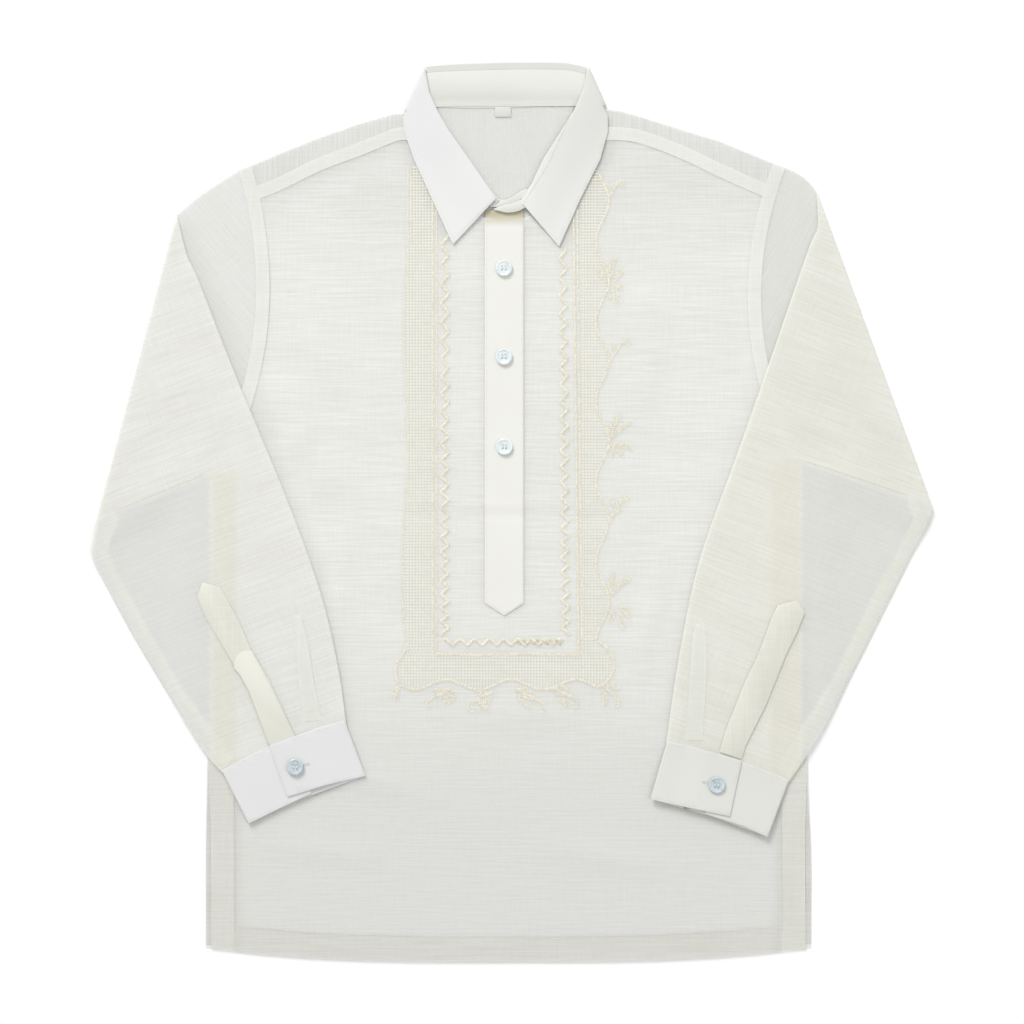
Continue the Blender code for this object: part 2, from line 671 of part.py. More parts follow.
def make_shirt():
    make_back()
    make_yoke()
    make_front()
    make_placket()
    make_collar_band()
    make_collar_leaf()
    make_label()
    for side in ("left", "right"):
        make_sleeve(side)
        make_sleeve_placket(side)
        make_cuff(side)
        overlap_top = OVER_FRONT_Z + 2 * (FUSED + GAP) + FUSED
        make_button("button_cuff_" + side, CUFF_BUTTONS[side], overlap_top + GAP)
    for number, place in enumerate(FRONT_BUTTONS, start=1):
        make_button(f"button_front_{number}", place, OVER_FRONT_Z + FUSED + GAP)


for leftover in list(bpy.data.objects):
    bpy.data.objects.remove(leftover, do_unlink=True)
make_shirt()
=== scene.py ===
"""Barong tagalog: a sheer embroidered shirt, laid flat on its back with both sleeves folded over its front.

Sizes in this file are millimetres, and finish_piece() turns them into metres. The shirt lies in the XY plane
with its collar towards +Y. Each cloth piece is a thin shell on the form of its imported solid, cut fine enough
to take creases.
"""

import math

import bmesh
import bpy
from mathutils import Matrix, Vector, noise
from mathutils.bvhtree import BVHTree


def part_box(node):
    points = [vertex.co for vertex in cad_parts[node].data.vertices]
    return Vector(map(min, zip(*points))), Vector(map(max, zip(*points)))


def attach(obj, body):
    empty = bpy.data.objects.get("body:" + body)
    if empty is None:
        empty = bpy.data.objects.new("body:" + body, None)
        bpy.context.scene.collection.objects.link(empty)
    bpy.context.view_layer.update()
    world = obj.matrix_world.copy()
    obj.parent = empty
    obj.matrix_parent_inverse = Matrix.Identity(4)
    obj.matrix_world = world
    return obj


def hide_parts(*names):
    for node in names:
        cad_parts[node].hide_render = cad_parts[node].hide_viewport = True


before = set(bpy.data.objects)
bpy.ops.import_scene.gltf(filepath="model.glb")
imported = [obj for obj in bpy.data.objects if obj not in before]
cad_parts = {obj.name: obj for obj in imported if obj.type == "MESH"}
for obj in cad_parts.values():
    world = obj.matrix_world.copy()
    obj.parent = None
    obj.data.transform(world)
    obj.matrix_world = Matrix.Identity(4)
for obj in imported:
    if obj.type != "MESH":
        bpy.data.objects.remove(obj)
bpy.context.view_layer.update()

MM = 0.001
CELL = 4.0  # spacing of the cuts that let a cloth shell bend
SLEEVE_CELL = 3.2
CLOTH_WALL = 0.3  # one ply of the sheer cloth as it is seen, inside the 1 mm of its solid

# Heights of the middle of each layer
BACK_Z = 0.5
FRONT_Z = 1.8
BETWEEN_Z = 1.15  # turnings between the back and the front
FELLED_Z = 2.3  # allowances that are felled down on top
PLACKET_Z = 2.5

SLEEVE_AXIS_Z = 2.45  # a folded sleeve turns about this height

FLOOR_SIZE = 6.0
CAMERA_HEIGHT = 2.176
CAMERA_LENS = 85.0


# Small helpers for meshes

def everything(bm):
    return list(bm.verts) + list(bm.edges) + list(bm.faces)


def mesh_of(name, bm):
    """The bmesh as a mesh; the bmesh is used up."""
    mesh = bpy.data.meshes.new(name)
    bm.to_mesh(mesh)
    bm.free()
    return mesh


def new_object(name, data):
    made = bpy.data.objects.new(name, data)
    bpy.context.scene.collection.objects.link(made)
    return made


def evaluated_mesh(holder):
    """An object's mesh after its modifiers, or a curve's tubes."""
    return bpy.data.meshes.new_from_object(holder.evaluated_get(bpy.context.evaluated_depsgraph_get()))


def solid_of(node):
    """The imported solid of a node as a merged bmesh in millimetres."""
    bm = bmesh.new()
    bm.from_mesh(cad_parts[node].data)
    bmesh.ops.scale(bm, vec=(1 / MM,) * 3, verts=bm.verts)
    bmesh.ops.remove_doubles(bm, verts=bm.verts, dist=2e-3)
    return bm


def plain_solid(node):
    """The same, with each flat side as one face."""
    bm = solid_of(node)
    bmesh.ops.dissolve_limit(bm, angle_limit=0.01, verts=bm.verts, edges=bm.edges)
    return bm


def upper_side(node, z):
    """The face of a flat solid that looks up, as one sheet at a height."""
    bm = solid_of(node)
    rest = [face for face in bm.faces if face.normal.z < 0.5]
    bmesh.ops.delete(bm, geom=rest, context="FACES")
    bmesh.ops.dissolve_limit(bm, angle_limit=0.02, verts=bm.verts, edges=bm.edges)
    for vert in bm.verts:
        vert.co.z = z
    return bm


def outer_skin(node, depth):
    """The outer surface of a hollow solid, moved in to the middle of its wall."""
    bm = solid_of(node)
    left = set(bm.faces)
    skins = []
    while left:
        seed = left.pop()
        skin, edge_of_skin = [seed], [seed]
        while edge_of_skin:
            face = edge_of_skin.pop()
            for edge in face.edges:
                for other in edge.link_faces:
                    if other in left and face.normal.angle(other.normal, 0.0) < math.radians(62):
                        left.discard(other)
                        skin.append(other)
                        edge_of_skin.append(other)
        skins.append(skin)
    outer = max(skins, key=lambda skin: sum(face.calc_area() for face in skin))
    kept = set(outer)
    bmesh.ops.delete(bm, geom=[face for face in bm.faces if face not in kept], context="FACES")
    moves = [(vert, vert.normal * -depth) for vert in bm.verts]
    for vert, move in moves:
        vert.co += move
    return bm


def cut_cells(bm, cell):
    """Cut a mesh on a square grid in plan, so that it can bend."""
    def cut(faces, axis, places):
        if not places or not faces:
            return
        place = places[len(places) // 2]
        crossed = [
            f for f in faces
            if min(v.co[axis] for v in f.verts) < place < max(v.co[axis] for v in f.verts)
        ]
        spared = set(faces) - set(crossed)
        if crossed:
            geometry = set(crossed)
            for face in crossed:
                geometry.update(face.verts)
                geometry.update(face.edges)
            point, normal = Vector((0, 0, 0)), Vector((0, 0, 0))
            point[axis], normal[axis] = place, 1.0
            made = bmesh.ops.bisect_plane(bm, geom=list(geometry), dist=1e-4, plane_co=point, plane_no=normal)
            spared.update(piece for piece in made["geom"] if isinstance(piece, bmesh.types.BMFace))
        low = [f for f in spared if sum(v.co[axis] for v in f.verts) / len(f.verts) < place]
        high = [f for f in spared if sum(v.co[axis] for v in f.verts) / len(f.verts) >= place]
        cut(low, axis, places[:len(places) // 2])
        cut(high, axis, places[len(places) // 2 + 1:])

    for axis in (0, 1):
        lowest = min(vert.co[axis] for vert in bm.verts)
        highest = max(vert.co[axis] for vert in bm.verts)
        places = [k * cell for k in range(math.ceil(lowest / cell), math.floor(highest / cell) + 1)]
        cut(list(bm.faces), axis, places)


def paint(bm, **amounts):
    """Paint named amounts on a mesh's points, each as a function of the place."""
    for name, amount in amounts.items():
        layer = bm.verts.layers.float.new(name)
        for vert in bm.verts:
            vert[layer] = amount(*vert.co)


def weave_map(bm, grain):
    """A UV map in millimetres of laid-out cloth: grain(co) gives the place along and across the weft."""
    layer = bm.loops.layers.uv.new("weave")
    for face in bm.faces:
        for loop in face.loops:
            loop[layer].uv = grain(loop.vert.co)


def thicken(bm, wall):
    """Give a sheet its wall, half to each side."""
    bmesh.ops.recalc_face_normals(bm, faces=bm.faces)
    for vert in list(bm.verts):
        vert.co += vert.normal * wall / 2
    bmesh.ops.solidify(bm, geom=list(bm.faces), thickness=wall)


def finish_piece(bm, name, material, replaces=(), smooth_angle=50.0):
    """Turn a bmesh in millimetres into a piece in metres. Of two materials, the second faces down."""
    bmesh.ops.scale(bm, vec=(MM, MM, MM), verts=bm.verts)
    bmesh.ops.recalc_face_normals(bm, faces=bm.faces)
    materials = material if isinstance(material, tuple) else (material,)
    for face in bm.faces:
        face.material_index = len(materials) - 1 if face.normal.z < 0 else 0
    mesh = mesh_of(name, bm)
    for part in materials:
        mesh.materials.append(part)
    mesh.shade_smooth()
    mesh.set_sharp_from_angle(angle=math.radians(smooth_angle))
    piece = new_object(name, mesh)
    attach(piece, "root")
    if replaces:
        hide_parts(*replaces)
    return piece


# Small helpers for places in plan

SIDES = ("left", "right")
INWARD = {"left": 1, "right": -1}  # the way along X from a side's edge into the shirt


def soft_step(t):
    t = min(max(t, 0.0), 1.0)
    return t * t * (3 - 2 * t)


def toward(angle):
    return Vector((math.cos(angle), math.sin(angle), 0))


def left_of(way):
    return Vector((-way.y, way.x, 0))


def bowed_place(start, end, share, bow):
    """A place on a shallow arc; a positive bow bulges to the right of the way from start to end."""
    return start.lerp(end, share) - left_of((end - start).normalized()) * (4 * share * (1 - share) * bow)


def on_curve(before, start, end, after, t):
    """A place between start and end on a smooth curve that also runs through the points before and after."""
    return 0.5 * (2 * start + (end - before) * t + (2 * before - 5 * start + 4 * end - after) * t ** 2
                  + (3 * start - 3 * end + after - before) * t ** 3)


# Creases: each row is a soft ridge (height > 0) or trough (height < 0) along a line.
# x0, y0, x1, y1, width, height

TROUGH_ROOM = 0.8  # how far the front may sink before it meets the back
FRONT_CREASES = (
    (-110, -1, 88, -4, 5, -0.9),
    (-100, 5, 80, 2, 5, 0.5),
    (-182, 164, -150, 101, 10, 2.6),
    (-172, 160, -140, 97, 9, -1.6),
    (-150, 101, -191, 29, 12, -1.8),
    (-118, 205, -96, 120, 13, -1.6),
    (-205, 110, -168, 20, 12, 2.2),
    (-150, -10, -156, -115, 9, 1.6),
    (-228, 262, -214, 130, 9, -1.6),
    (-150, 302, -212, 268, 8, -1.4),
    (110, 210, 132, 96, 16, 1.6),
    (150, 150, 118, 20, 14, -1.5),
    (196, 262, 208, 120, 9, -1.4),
    (138, -30, 112, -150, 12, 1.8),
    (-40, -180, 60, -188, 12, 1.3),
    (-180, -230, -70, -255, 14, 1.5),
    (90, -240, 190, -215, 14, -1.4),
    (-215, -300, -120, -310, 11, 1.2),
    (20, -300, 150, -322, 12, 1.3),
)


def crease_height(table, x, y):
    """The sum of the creases at a place."""
    height = 0.0
    for x0, y0, x1, y1, width, rise in table:
        dx, dy = x1 - x0, y1 - y0
        length_squared = dx * dx + dy * dy
        t = ((x - x0) * dx + (y - y0) * dy) / length_squared
        nearest = min(max(t, 0.0), 1.0)
        off_x, off_y = x - x0 - nearest * dx, y - y0 - nearest * dy
        distance = (off_x * off_x + off_y * off_y) / (width * width)
        if distance < 6:
            fade = math.sin(math.pi * min(max(t * 0.8 + 0.1, 0.0), 1.0))
            height += rise * fade * math.exp(-distance)
    return height


def ripple(x, y, depth, length=60.0):
    """The slight waviness of thin cloth that was pressed and laid down."""
    return depth * noise.noise(Vector((x / length, y / (length * 1.5), 3.7)))


def front_height(x, y):
    rise = crease_height(FRONT_CREASES, x, y) + ripple(x, y, 0.25)
    return FRONT_Z + (rise if rise > 0 else -TROUGH_ROOM * (1 - math.exp(rise / TROUGH_ROOM)))


# Materials

def linear(hex_color):
    """A colour's sRGB hex value as the linear values that a shader takes."""
    channels = [int(hex_color[k:k + 2], 16) / 255 for k in (1, 3, 5)]
    return tuple(c / 12.92 if c <= 0.04045 else ((c + 0.055) / 1.055) ** 2.4 for c in channels) + (1.0,)


def new_material(name):
    material = bpy.data.materials.new(name)
    material.use_nodes = True
    return material, material.node_tree.nodes["Principled BSDF"]


def add(material, kind, inputs=(), links=(), **settings):
    """Add a node with its settings, its inputs' values and the links into it."""
    node = material.node_tree.nodes.new(kind)
    for key, value in settings.items():
        setattr(node, key, value)
    for key, value in dict(inputs).items():
        node.inputs[key].default_value = value
    for key, source in dict(links).items():
        material.node_tree.links.new(source, node.inputs[key])
    return node


def blend_colors(material, factor, first, second):
    """A mix of two colours, each given as hex or as a socket."""
    mix = add(material, "ShaderNodeMix", data_type="RGBA")
    for socket, color in ((mix.inputs[6], first), (mix.inputs[7], second)):
        if isinstance(color, str):
            socket.default_value = linear(color)
        else:
            material.node_tree.links.new(color, socket)
    material.node_tree.links.new(factor, mix.inputs[0])
    return mix.outputs[2]


def ranged(material, value, low, high, to_low, to_high):
    """A value's range stretched to another, clamped."""
    node = add(
        material, "ShaderNodeMapRange",
        {"From Min": low, "From Max": high, "To Min": to_low, "To Max": to_high}, {"Value": value},
    )
    return node.outputs[0]


def noise_at(material, place, size, detail, distortion=0.0):
    """A pattern of soft blots of a size in millimetres."""
    inputs = {"Scale": 1 / (size * MM), "Detail": detail, "Distortion": distortion}
    return add(material, "ShaderNodeTexNoise", inputs, {"Vector": place}).outputs[0]


def finish_shader(material, shader, color, relief, strength, depth, inputs):
    """Give a shader its colour, the values of its inputs and its fine relief."""
    material.node_tree.links.new(color, shader.inputs["Base Color"])
    for key, value in inputs.items():
        shader.inputs[key].default_value = value
    bump = add(material, "ShaderNodeBump", {"Strength": strength, "Distance": depth}, {"Height": relief})
    material.node_tree.links.new(bump.outputs[0], shader.inputs["Normal"])
    return material


SLUB_LENGTH = 46.0  # mm: how far a thick place runs along a weft yarn
SLUB_PITCH = 2.0  # mm: several yarns to a streak, as fine as shows
WARP_PITCH = 1.7  # mm: real yarns lie 0.5 mm apart, drawn as coarse as they need to show
WARP_LENGTH = 30.0
PATCH_LENGTH = 70.0  # mm: the cloth is beaten closer in some patches than in others
PATCH_PITCH = 26.0
SEAM_TINT = "#F4F2E5"
# painted shadow beside an edge that lies on the cloth
EDGE_SHADOW_TINT = "#D2D3CA"
# painted shadow, darker and yellower, where the collar shades the placket
COLLAR_SHADOW_TINT = "#C2BBA0"


def slubs(material, streakiness):
    """How thick the yarns are: streaks along the weft, finer ones along the warp, and broad patches."""
    place = add(material, "ShaderNodeUVMap", uv_map="weave").outputs[0]

    def streaks(length, pitch, detail, low, high, share):
        scale = (1 / length, 1 / pitch, 1.0)
        scaled = add(material, "ShaderNodeMapping", {"Scale": scale}, {"Vector": place})
        pattern = add(
            material, "ShaderNodeTexNoise", {"Scale": 1.0, "Detail": detail, "Roughness": 0.6},
            {"Vector": scaled.outputs[0]}, noise_dimensions="2D",
        ).outputs[0]
        return ranged(material, pattern, low, high, 0, share)

    def total(first, second):
        return add(material, "ShaderNodeMath", {}, {0: first, 1: second}, operation="ADD").outputs[0]

    wefts = streaks(SLUB_LENGTH, SLUB_PITCH, 1.0, 0.5 - 0.35 / streakiness, 0.5 + 0.35 / streakiness, 0.62)
    patches = streaks(PATCH_LENGTH, PATCH_PITCH, 0.0, 0.25, 0.75, 0.24)
    warps = streaks(WARP_PITCH, WARP_LENGTH, 0.0, 0.2, 0.8, 0.14)
    return total(total(wefts, patches), warps)


def sheer_material(name, light, shade, bare, ply_opacity, streakiness=1.0):
    """Plain-woven sheer cloth of slubbed filament: what lies below shows through between the yarns.

    The eye sees pale streaks along the weft where yarns are thick. Three attributes tint the cloth. The first
    paints a grey shade: towards the hem, inside the neck and where only the floor lies under a sleeve.
    "over_seam" makes it cream over a seam and where threads are drawn. The last paints a dim shadow beside a
    thicker edge. Gives the cloth's face, where the slubs stand out, and its underside, which stays clear: one
    ply is drawn once, by its face.
    """
    material, shader = new_material(name)
    weave = slubs(material, streakiness)
    color = blend_colors(material, weave, shade, light)
    for attribute, tint in (("bare", bare), ("over_seam", SEAM_TINT), ("tucked", EDGE_SHADOW_TINT)):
        amount = add(material, "ShaderNodeAttribute", attribute_name=attribute).outputs["Fac"]
        color = blend_colors(material, amount, color, tint)
    material.node_tree.links.new(color, shader.inputs["Base Color"])
    alpha = ranged(material, weave, 0.1, 0.9, ply_opacity * 0.9, min(ply_opacity * 1.1, 1.0))
    material.node_tree.links.new(alpha, shader.inputs["Alpha"])
    shader.inputs["Roughness"].default_value = 0.62
    underside, clear = new_material(name + ", underside")
    clear.inputs["Base Color"].default_value = linear(light)
    clear.inputs["Alpha"].default_value = 0.0
    return material, underside


def fused_material(name, light, shade, shaded_half=None, lit_tips=None, collar_shadow_from=None):
    """The same fibre in a closer weave, fused to interfacing: opaque, smooth and a cooler white.

    With a colour for its shaded half, the half towards +X is painted that much warmer and darker: a painted
    shade for the side away from the light. With a colour for the tips, the cloth is painted lighter towards the
    collar's points: a painted light. Above the place given for the collar's shadow it lies under the collar,
    and
    is painted darker and yellower: a painted shadow.
    """
    material, shader = new_material(name)
    place = add(material, "ShaderNodeTexCoord").outputs["Object"]
    across, upward = add(material, "ShaderNodeSeparateXYZ", {}, {"Vector": place}).outputs[:2]
    grain = noise_at(material, place, 1.1, 2.0)
    broad = noise_at(material, place, 45, 1.0)
    halves = {k: ranged(material, pattern, 0.3, 0.7, 0, 0.5) for k, pattern in enumerate((grain, broad))}
    both = add(material, "ShaderNodeMath", {}, halves, operation="ADD").outputs[0]
    color = blend_colors(material, both, shade, light)
    if shaded_half:
        color = blend_colors(material, ranged(material, across, -0.01, 0.03, 0, 1), color, shaded_half)
    if lit_tips:
        color = blend_colors(material, ranged(material, upward, 0.35, 0.25, 0, 0.6), color, lit_tips)
    if collar_shadow_from:
        collar_shadow = ranged(material, upward, collar_shadow_from, collar_shadow_from + 11 * MM, 0, 1)
        color = blend_colors(material, collar_shadow, color, COLLAR_SHADOW_TINT)
    inputs = {"Roughness": 0.7, "Sheen Weight": 0.05}
    return finish_shader(material, shader, color, grain, 0.25, 0.2 * MM, inputs)


# Each sheer cloth's third colour is its painted grey shade
BODY_CLOTH = sheer_material("slubbed sheer body cloth", "#FBFBF8", "#F0F1EA", "#EDEDE9", 0.58)
SLEEVE_CLOTHS = {
    "left": sheer_material("slubbed sheer sleeve cloth", "#FBFBF8", "#F4F4EC", "#ECEDE9", 0.60, 0.8),
    # The right sleeve's colours are a little warmer and darker: a painted shade for the side away from the
    # light
    "right": sheer_material(
        "slubbed sheer sleeve cloth, painted warmer shade", "#F9F9F2", "#F3F3E9", "#EBECE6", 0.60, 0.8,
    ),
}
YOKE_CLOTH = sheer_material("slubbed sheer yoke cloth", "#F6F6F4", "#E9E9E3", "#DCDDD8", 0.60)
UNDERARM_CLOTH = sheer_material("underarm allowance", "#F8F9F0", "#F3F4E8", "#F0F1E6", 0.66, 0.4)
ALLOWANCE_CLOTH = sheer_material("cream doubled allowance", "#F8F9F5", "#F2F3EA", "#F0F1E6", 0.70, 0.4)
# The third colour of the collar's and cuffs' cloth is a painted shade on their +X half; the collar's fourth is
# a painted light on its points
COLLAR_CLOTH = fused_material("fused collar cloth", "#E3E3E3", "#DFDFDF", "#DADBD6", "#EAEAE8")
LAP_CLOTH = fused_material("close placket lap", "#E4E4DA", "#DEDED2")
BAND_CLOTH = fused_material("fused band cloth", "#E0E1DB", "#DBDCD6")
# darker band cloth along the collar's fold
ROLL_CLOTH = fused_material("fused band cloth, darker at its fold", "#D9DAD4", "#D3D4CE")
CUFF_CLOTH = fused_material("fused cuff cloth", "#E1E1E1", "#DCDCDC", "#DBDBD6")
# darker and yellower at its top: a painted shadow under the collar
PLACKET_CLOTH = fused_material("fused placket cloth", "#EAEAE4", "#E6E6DF", collar_shadow_from=0.2560)

# The hem turning is darker partly for its doubled cloth and partly as painted shade along the hem
HEM_CLOTH = sheer_material("doubled hem turning, with painted shade", "#ECEBE0", "#D9D8C9", "#E6E5D8", 0.70)
TURNING_CLOTH = sheer_material("cream side turning", "#F4F0E2", "#E5E1CF", "#ECE8D8", 0.75)
BOUND_CLOTH = sheer_material("doubled placket cloth", "#EBEADF", "#E5E4D9", "#E0E0D6", 0.84, 0.5)
PLEAT_CLOTH = sheer_material("pleated sleeve cloth", "#F9FAF5", "#F3F4EA", "#EEEEE8", 0.52, 0.4)
# The back's turned edge is darker partly for its doubled cloth and partly as painted shade along the outline
SLIVER_CLOTH = sheer_material("turned edge of the back", "#E2E2DD", "#D3D3CC", "#DEDED6", 0.75)


def thread_material(name, color, shade, roughness):
    """Mercerised cotton thread: soft gloss, twisted, so fine bands of shade run across it."""
    material, shader = new_material(name)
    place = add(material, "ShaderNodeTexCoord").outputs["Object"]
    twist = noise_at(material, place, 1.6, 1.0)
    banded = blend_colors(material, ranged(material, twist, 0.4, 0.6, 0, 1), shade, color)
    inputs = {"Roughness": roughness, "Sheen Weight": 0.1}
    return finish_shader(material, shader, banded, twist, 0.5, 0.3 * MM, inputs)


def button_material(name, pale, deep):
    """Pearly polyester resin, cast and turned: pale blue, clouded and glossy."""
    material, shader = new_material(name)
    place = add(material, "ShaderNodeTexCoord").outputs["Object"]
    cloud = noise_at(material, place, 5, 2.0, distortion=1.2)
    clouded = blend_colors(material, ranged(material, cloud, 0.35, 0.65, 0, 1), deep, pale)
    inputs = {"Roughness": 0.16, "IOR": 1.56, "Coat Weight": 0.4, "Coat Roughness": 0.08}
    return finish_shader(material, shader, clouded, cloud, 0.08, 0.3 * MM, inputs)


EMBROIDERY_THREAD = thread_material("cream cotton embroidery thread", "#EDE9D9", "#DAD4C0", 0.5)
GROUND_THREAD = thread_material("bundled cream ground threads", "#EDECDD", "#E6E5D6", 0.6)
AGED_THREAD = thread_material("embroidery thread, yellowed", "#E2DBC4", "#CFC5A6", 0.5)
SEWING_THREAD = thread_material("white spun sewing thread", "#EEEEE6", "#DADAD0", 0.6)
# Real stitching in a dark colour that also paints the shade of the seams and edges it lies along
SEAM_SHADE_THREAD = thread_material("sewing thread, dark as painted seam shade", "#D8D7CC", "#C8C7BC", 0.7)
LABEL_SATIN = fused_material("woven satin ribbon", "#DBDBD7", "#D3D3CF")
BUTTON_RESIN = button_material("pearly cast resin", "#EFF4F3", "#D5E3E8")
CUFF_BUTTON_RESIN = button_material("pearly cast resin, deeper", "#CFDADF", "#B2C2CA")


# Body panels

def straight_grain(co):
    return co.x, co.y


def upright_grain(co):
    return co.y, co.x


def hem_painted_shade(y):
    """How much painted grey shade the body gets: none up the chest, the most towards its hem."""
    return soft_step((-85.0 - y) / 190.0)


# Edges lying on the cloth, with painted shadow beside them: how far it runs, its strength, the edge's points
SHADOWING_EDGES = (
    (24.0, 0.36, ((-297.9, 248.4), (-274.5, 188.1), (-241.7, 108.0), (-225.0, 68.0))),
    (15.0, 0.28, ((-241.7, 108.0), (-201.2, 9.5), (-175.1, -62.1), (-158.4, -133.2), (-150.3, -187.2))),
    (20.0, 0.15, ((243.9, 174.1), (225.0, 114.3), (208.4, 72.3), (186.0, 10.0))),
    (12.0, 0.16, ((172.8, -25.9), (151.2, -115.2), (143.0, -190.0))),
    (8.0, 0.16, ((-25.4, 262.0), (-25.4, -82.0))),
    (7.0, 0.10, ((10.8, 262.0), (10.8, -82.0))),
    (12.0, 0.46, ((90.0, 341.0), (80.0, 313.0), (62.5, 279.0), (45.5, 243.0))),
    (9.0, 0.30, ((-101.0, 345.0), (-89.0, 313.0), (-57.0, 243.0))),
)
VENT_SHADOW = 0.36
VENT_SHADOW_RUN = 11.0


def distance_to_line(line, x, y):
    """How far a place lies from a line of straight stretches."""
    nearest = math.inf
    for (x0, y0), (x1, y1) in zip(line, line[1:]):
        dx, dy = x1 - x0, y1 - y0
        t = min(max(((x - x0) * dx + (y - y0) * dy) / (dx * dx + dy * dy), 0.0), 1.0)
        nearest = min(nearest, math.hypot(x - x0 - t * dx, y - y0 - t * dy))
    return nearest


def tuck(x, y):
    """How much painted shadow the cloth gets beside the edges that lie on it."""
    return max(
        strength * soft_step(1 - distance_to_line(line, x, y) / run) for run, strength, line in SHADOWING_EDGES
    )


def vent_shadow(x, y):
    """How much painted shadow the front gets just inside its vents' turnings."""
    inside = min(x - SIDE_LINES["left"][2][0], SIDE_LINES["right"][2][0] - x) - VENT_TURN
    return VENT_SHADOW * soft_step(1 - inside / VENT_SHADOW_RUN) if inside > 0 and y < -225 else 0.0


def make_back():
    bm = upper_side("back", BACK_Z)
    cut_cells(bm, CELL * 1.5)
    for vert in bm.verts:
        vert.co.z = BACK_Z + ripple(vert.co.x, vert.co.y, 0.15)
    # painted grey shade, more towards the hem
    paint(bm, bare=lambda x, y, z: hem_painted_shade(y))
    weave_map(bm, straight_grain)
    thicken(bm, CLOTH_WALL)
    return finish_piece(bm, "back_panel", BODY_CLOTH, ["back"])


def make_front():
    bm = upper_side("front", FRONT_Z)
    cut_cells(bm, CELL)
    for vert in bm.verts:
        vert.co.z = front_height(vert.co.x, vert.co.y)
    # painted grey shade towards the hem, cream over the drawn work, painted shadow beside the edges on it
    paint(
        bm, bare=lambda x, y, z: hem_painted_shade(y), over_seam=lambda x, y, z: GROUND_CREAM * in_drawn_work(x, y),
        tucked=lambda x, y, z: max(tuck(x, y), vent_shadow(x, y)),
    )
    weave_map(bm, straight_grain)
    thicken(bm, CLOTH_WALL)
    return finish_piece(bm, "front_panel", BODY_CLOTH, ["front"])


def make_yoke():
    bm = outer_skin("yoke", 0.5)
    cut_cells(bm, CELL)
    # painted grey shade inside the neck, on the yoke's lower ply
    paint(bm, bare=lambda x, y, z: soft_step((y - 240.0) / 65.0) if z < 1.0 else 0.0)
    weave_map(bm, upright_grain)
    thicken(bm, CLOTH_WALL)
    return finish_piece(bm, "yoke_panel", YOKE_CLOTH, ["yoke"])


# Sleeves: rows from armhole to cuff. over = overarm edge, under = underarm edge, bow = how far the row bows
# towards the shoulder, folded = 1 where that end lies past the fold and on top.

SLEEVE_COLUMNS = ("over_x", "over_y", "over_folded", "under_x", "under_y", "under_folded", "bow")
SLEEVES = {
    "left": {
        "fold": ((-302.4, 265.5), (-378.6, -24.0)),
        "outward": -1,
        "weft_degrees": 129.5,
        "rows": (
            (-245.4, 308.4, 0, -270.6, 37.4, 0, 27.0),
            (-279.0, 286.5, 0, -316.8, 18.0, 0, 6.0),
            (-301.0, 267.5, 0, -366.3, -1.8, 0, 0.0),
            (-292.0, 231.0, 1, -376.0, -20.0, 1, 0.0),
            (-280.8, 206.1, 1, -378.0, -38.0, 1, 0.0),
            (-246.6, 118.8, 1, -368.5, -60.0, 1, 0.0),
            (-203.4, 14.4, 1, -339.3, -114.3, 1, 2.0),
            (-172.8, -70.0, 1, -306.0, -169.2, 1, 3.0),
            (-156.6, -137.7, 1, -278.0, -214.0, 1, 5.0),
            (-148.9, -190.4, 1, -259.7, -235.4, 1, 6.0),
        ),
    },
    "right": {
        "fold": ((277.2, 280.8), (378.9, 3.6)),
        "outward": 1,
        "weft_degrees": 61.2,
        "rows": (
            (245.4, 310.2, 0, 259.8, 48.2, 0, -28.5),
            (262.0, 301.5, 0, 304.2, 36.9, 0, -6.0),
            (275.0, 287.0, 0, 362.0, 13.6, 0, 0.0),
            (274.6, 256.0, 1, 378.0, 1.5, 1, 0.0),
            (266.4, 235.8, 1, 372.0, -14.0, 1, 0.0),
            (232.2, 136.8, 1, 356.0, -46.0, 1, 0.0),
            (202.5, 52.2, 1, 335.0, -88.0, 1, -2.0),
            (169.2, -41.4, 1, 303.0, -151.0, 1, -3.0),
            (151.2, -124.2, 1, 277.0, -200.0, 1, -5.0),
            (138.4, -208.5, 1, 248.2, -243.5, 1, -3.0),
        ),
    },
}
PLY_RISE = 0.65  # each ply of a flattened sleeve lies this far above or below the tube's middle
TUBE_MIDDLE_Z = 1.15
SAG_DEPTH = 2.2  # the folded sleeve sinks where neither the body nor the sleeve itself lies under it
SAG_RUN = 34.0
SAG_FROM_BODY = 16.0


class Fold:
    """A fold of cloth over a straight edge. What lies outside the edge turns up and back over the rest."""

    def __init__(self, edge, outward, axis_z):
        start, end = (Vector((*point, 0)) for point in edge)
        along = (end - start).normalized()
        self.out = -left_of(along)
        if self.out.x * outward < 0:
            self.out.negate()
        self.axis_z = axis_z
        self.origin = start - self.out * axis_z
        self.radius = axis_z / 2
        self.length = math.pi * self.radius

    def reach(self, point):
        return (Vector((point[0], point[1], 0)) - self.origin).dot(self.out)

    def unfold(self, point):
        """Where a point of the upper layer lies before the fold is made."""
        return Vector((point[0], point[1], 0)) + self.out * (self.length - 2 * self.reach(point))

    def bend(self, bm, steps=6):
        """Cut the mesh along the turn, then roll what lies outside it up and over."""
        for k in range(steps + 1):
            line = self.origin + self.out * (self.length * k / steps)
            bmesh.ops.bisect_plane(bm, geom=everything(bm), dist=1e-4, plane_co=line, plane_no=self.out)
        for vert in bm.verts:
            outside = self.reach(vert.co)
            if outside <= 0:
                continue
            turn = min(outside, self.length) / self.radius
            radius = self.axis_z - vert.co.z
            past = max(outside - self.length, 0.0)
            vert.co += self.out * (radius * math.sin(turn) - past - outside)
            vert.co.z = self.axis_z - radius * math.cos(turn)


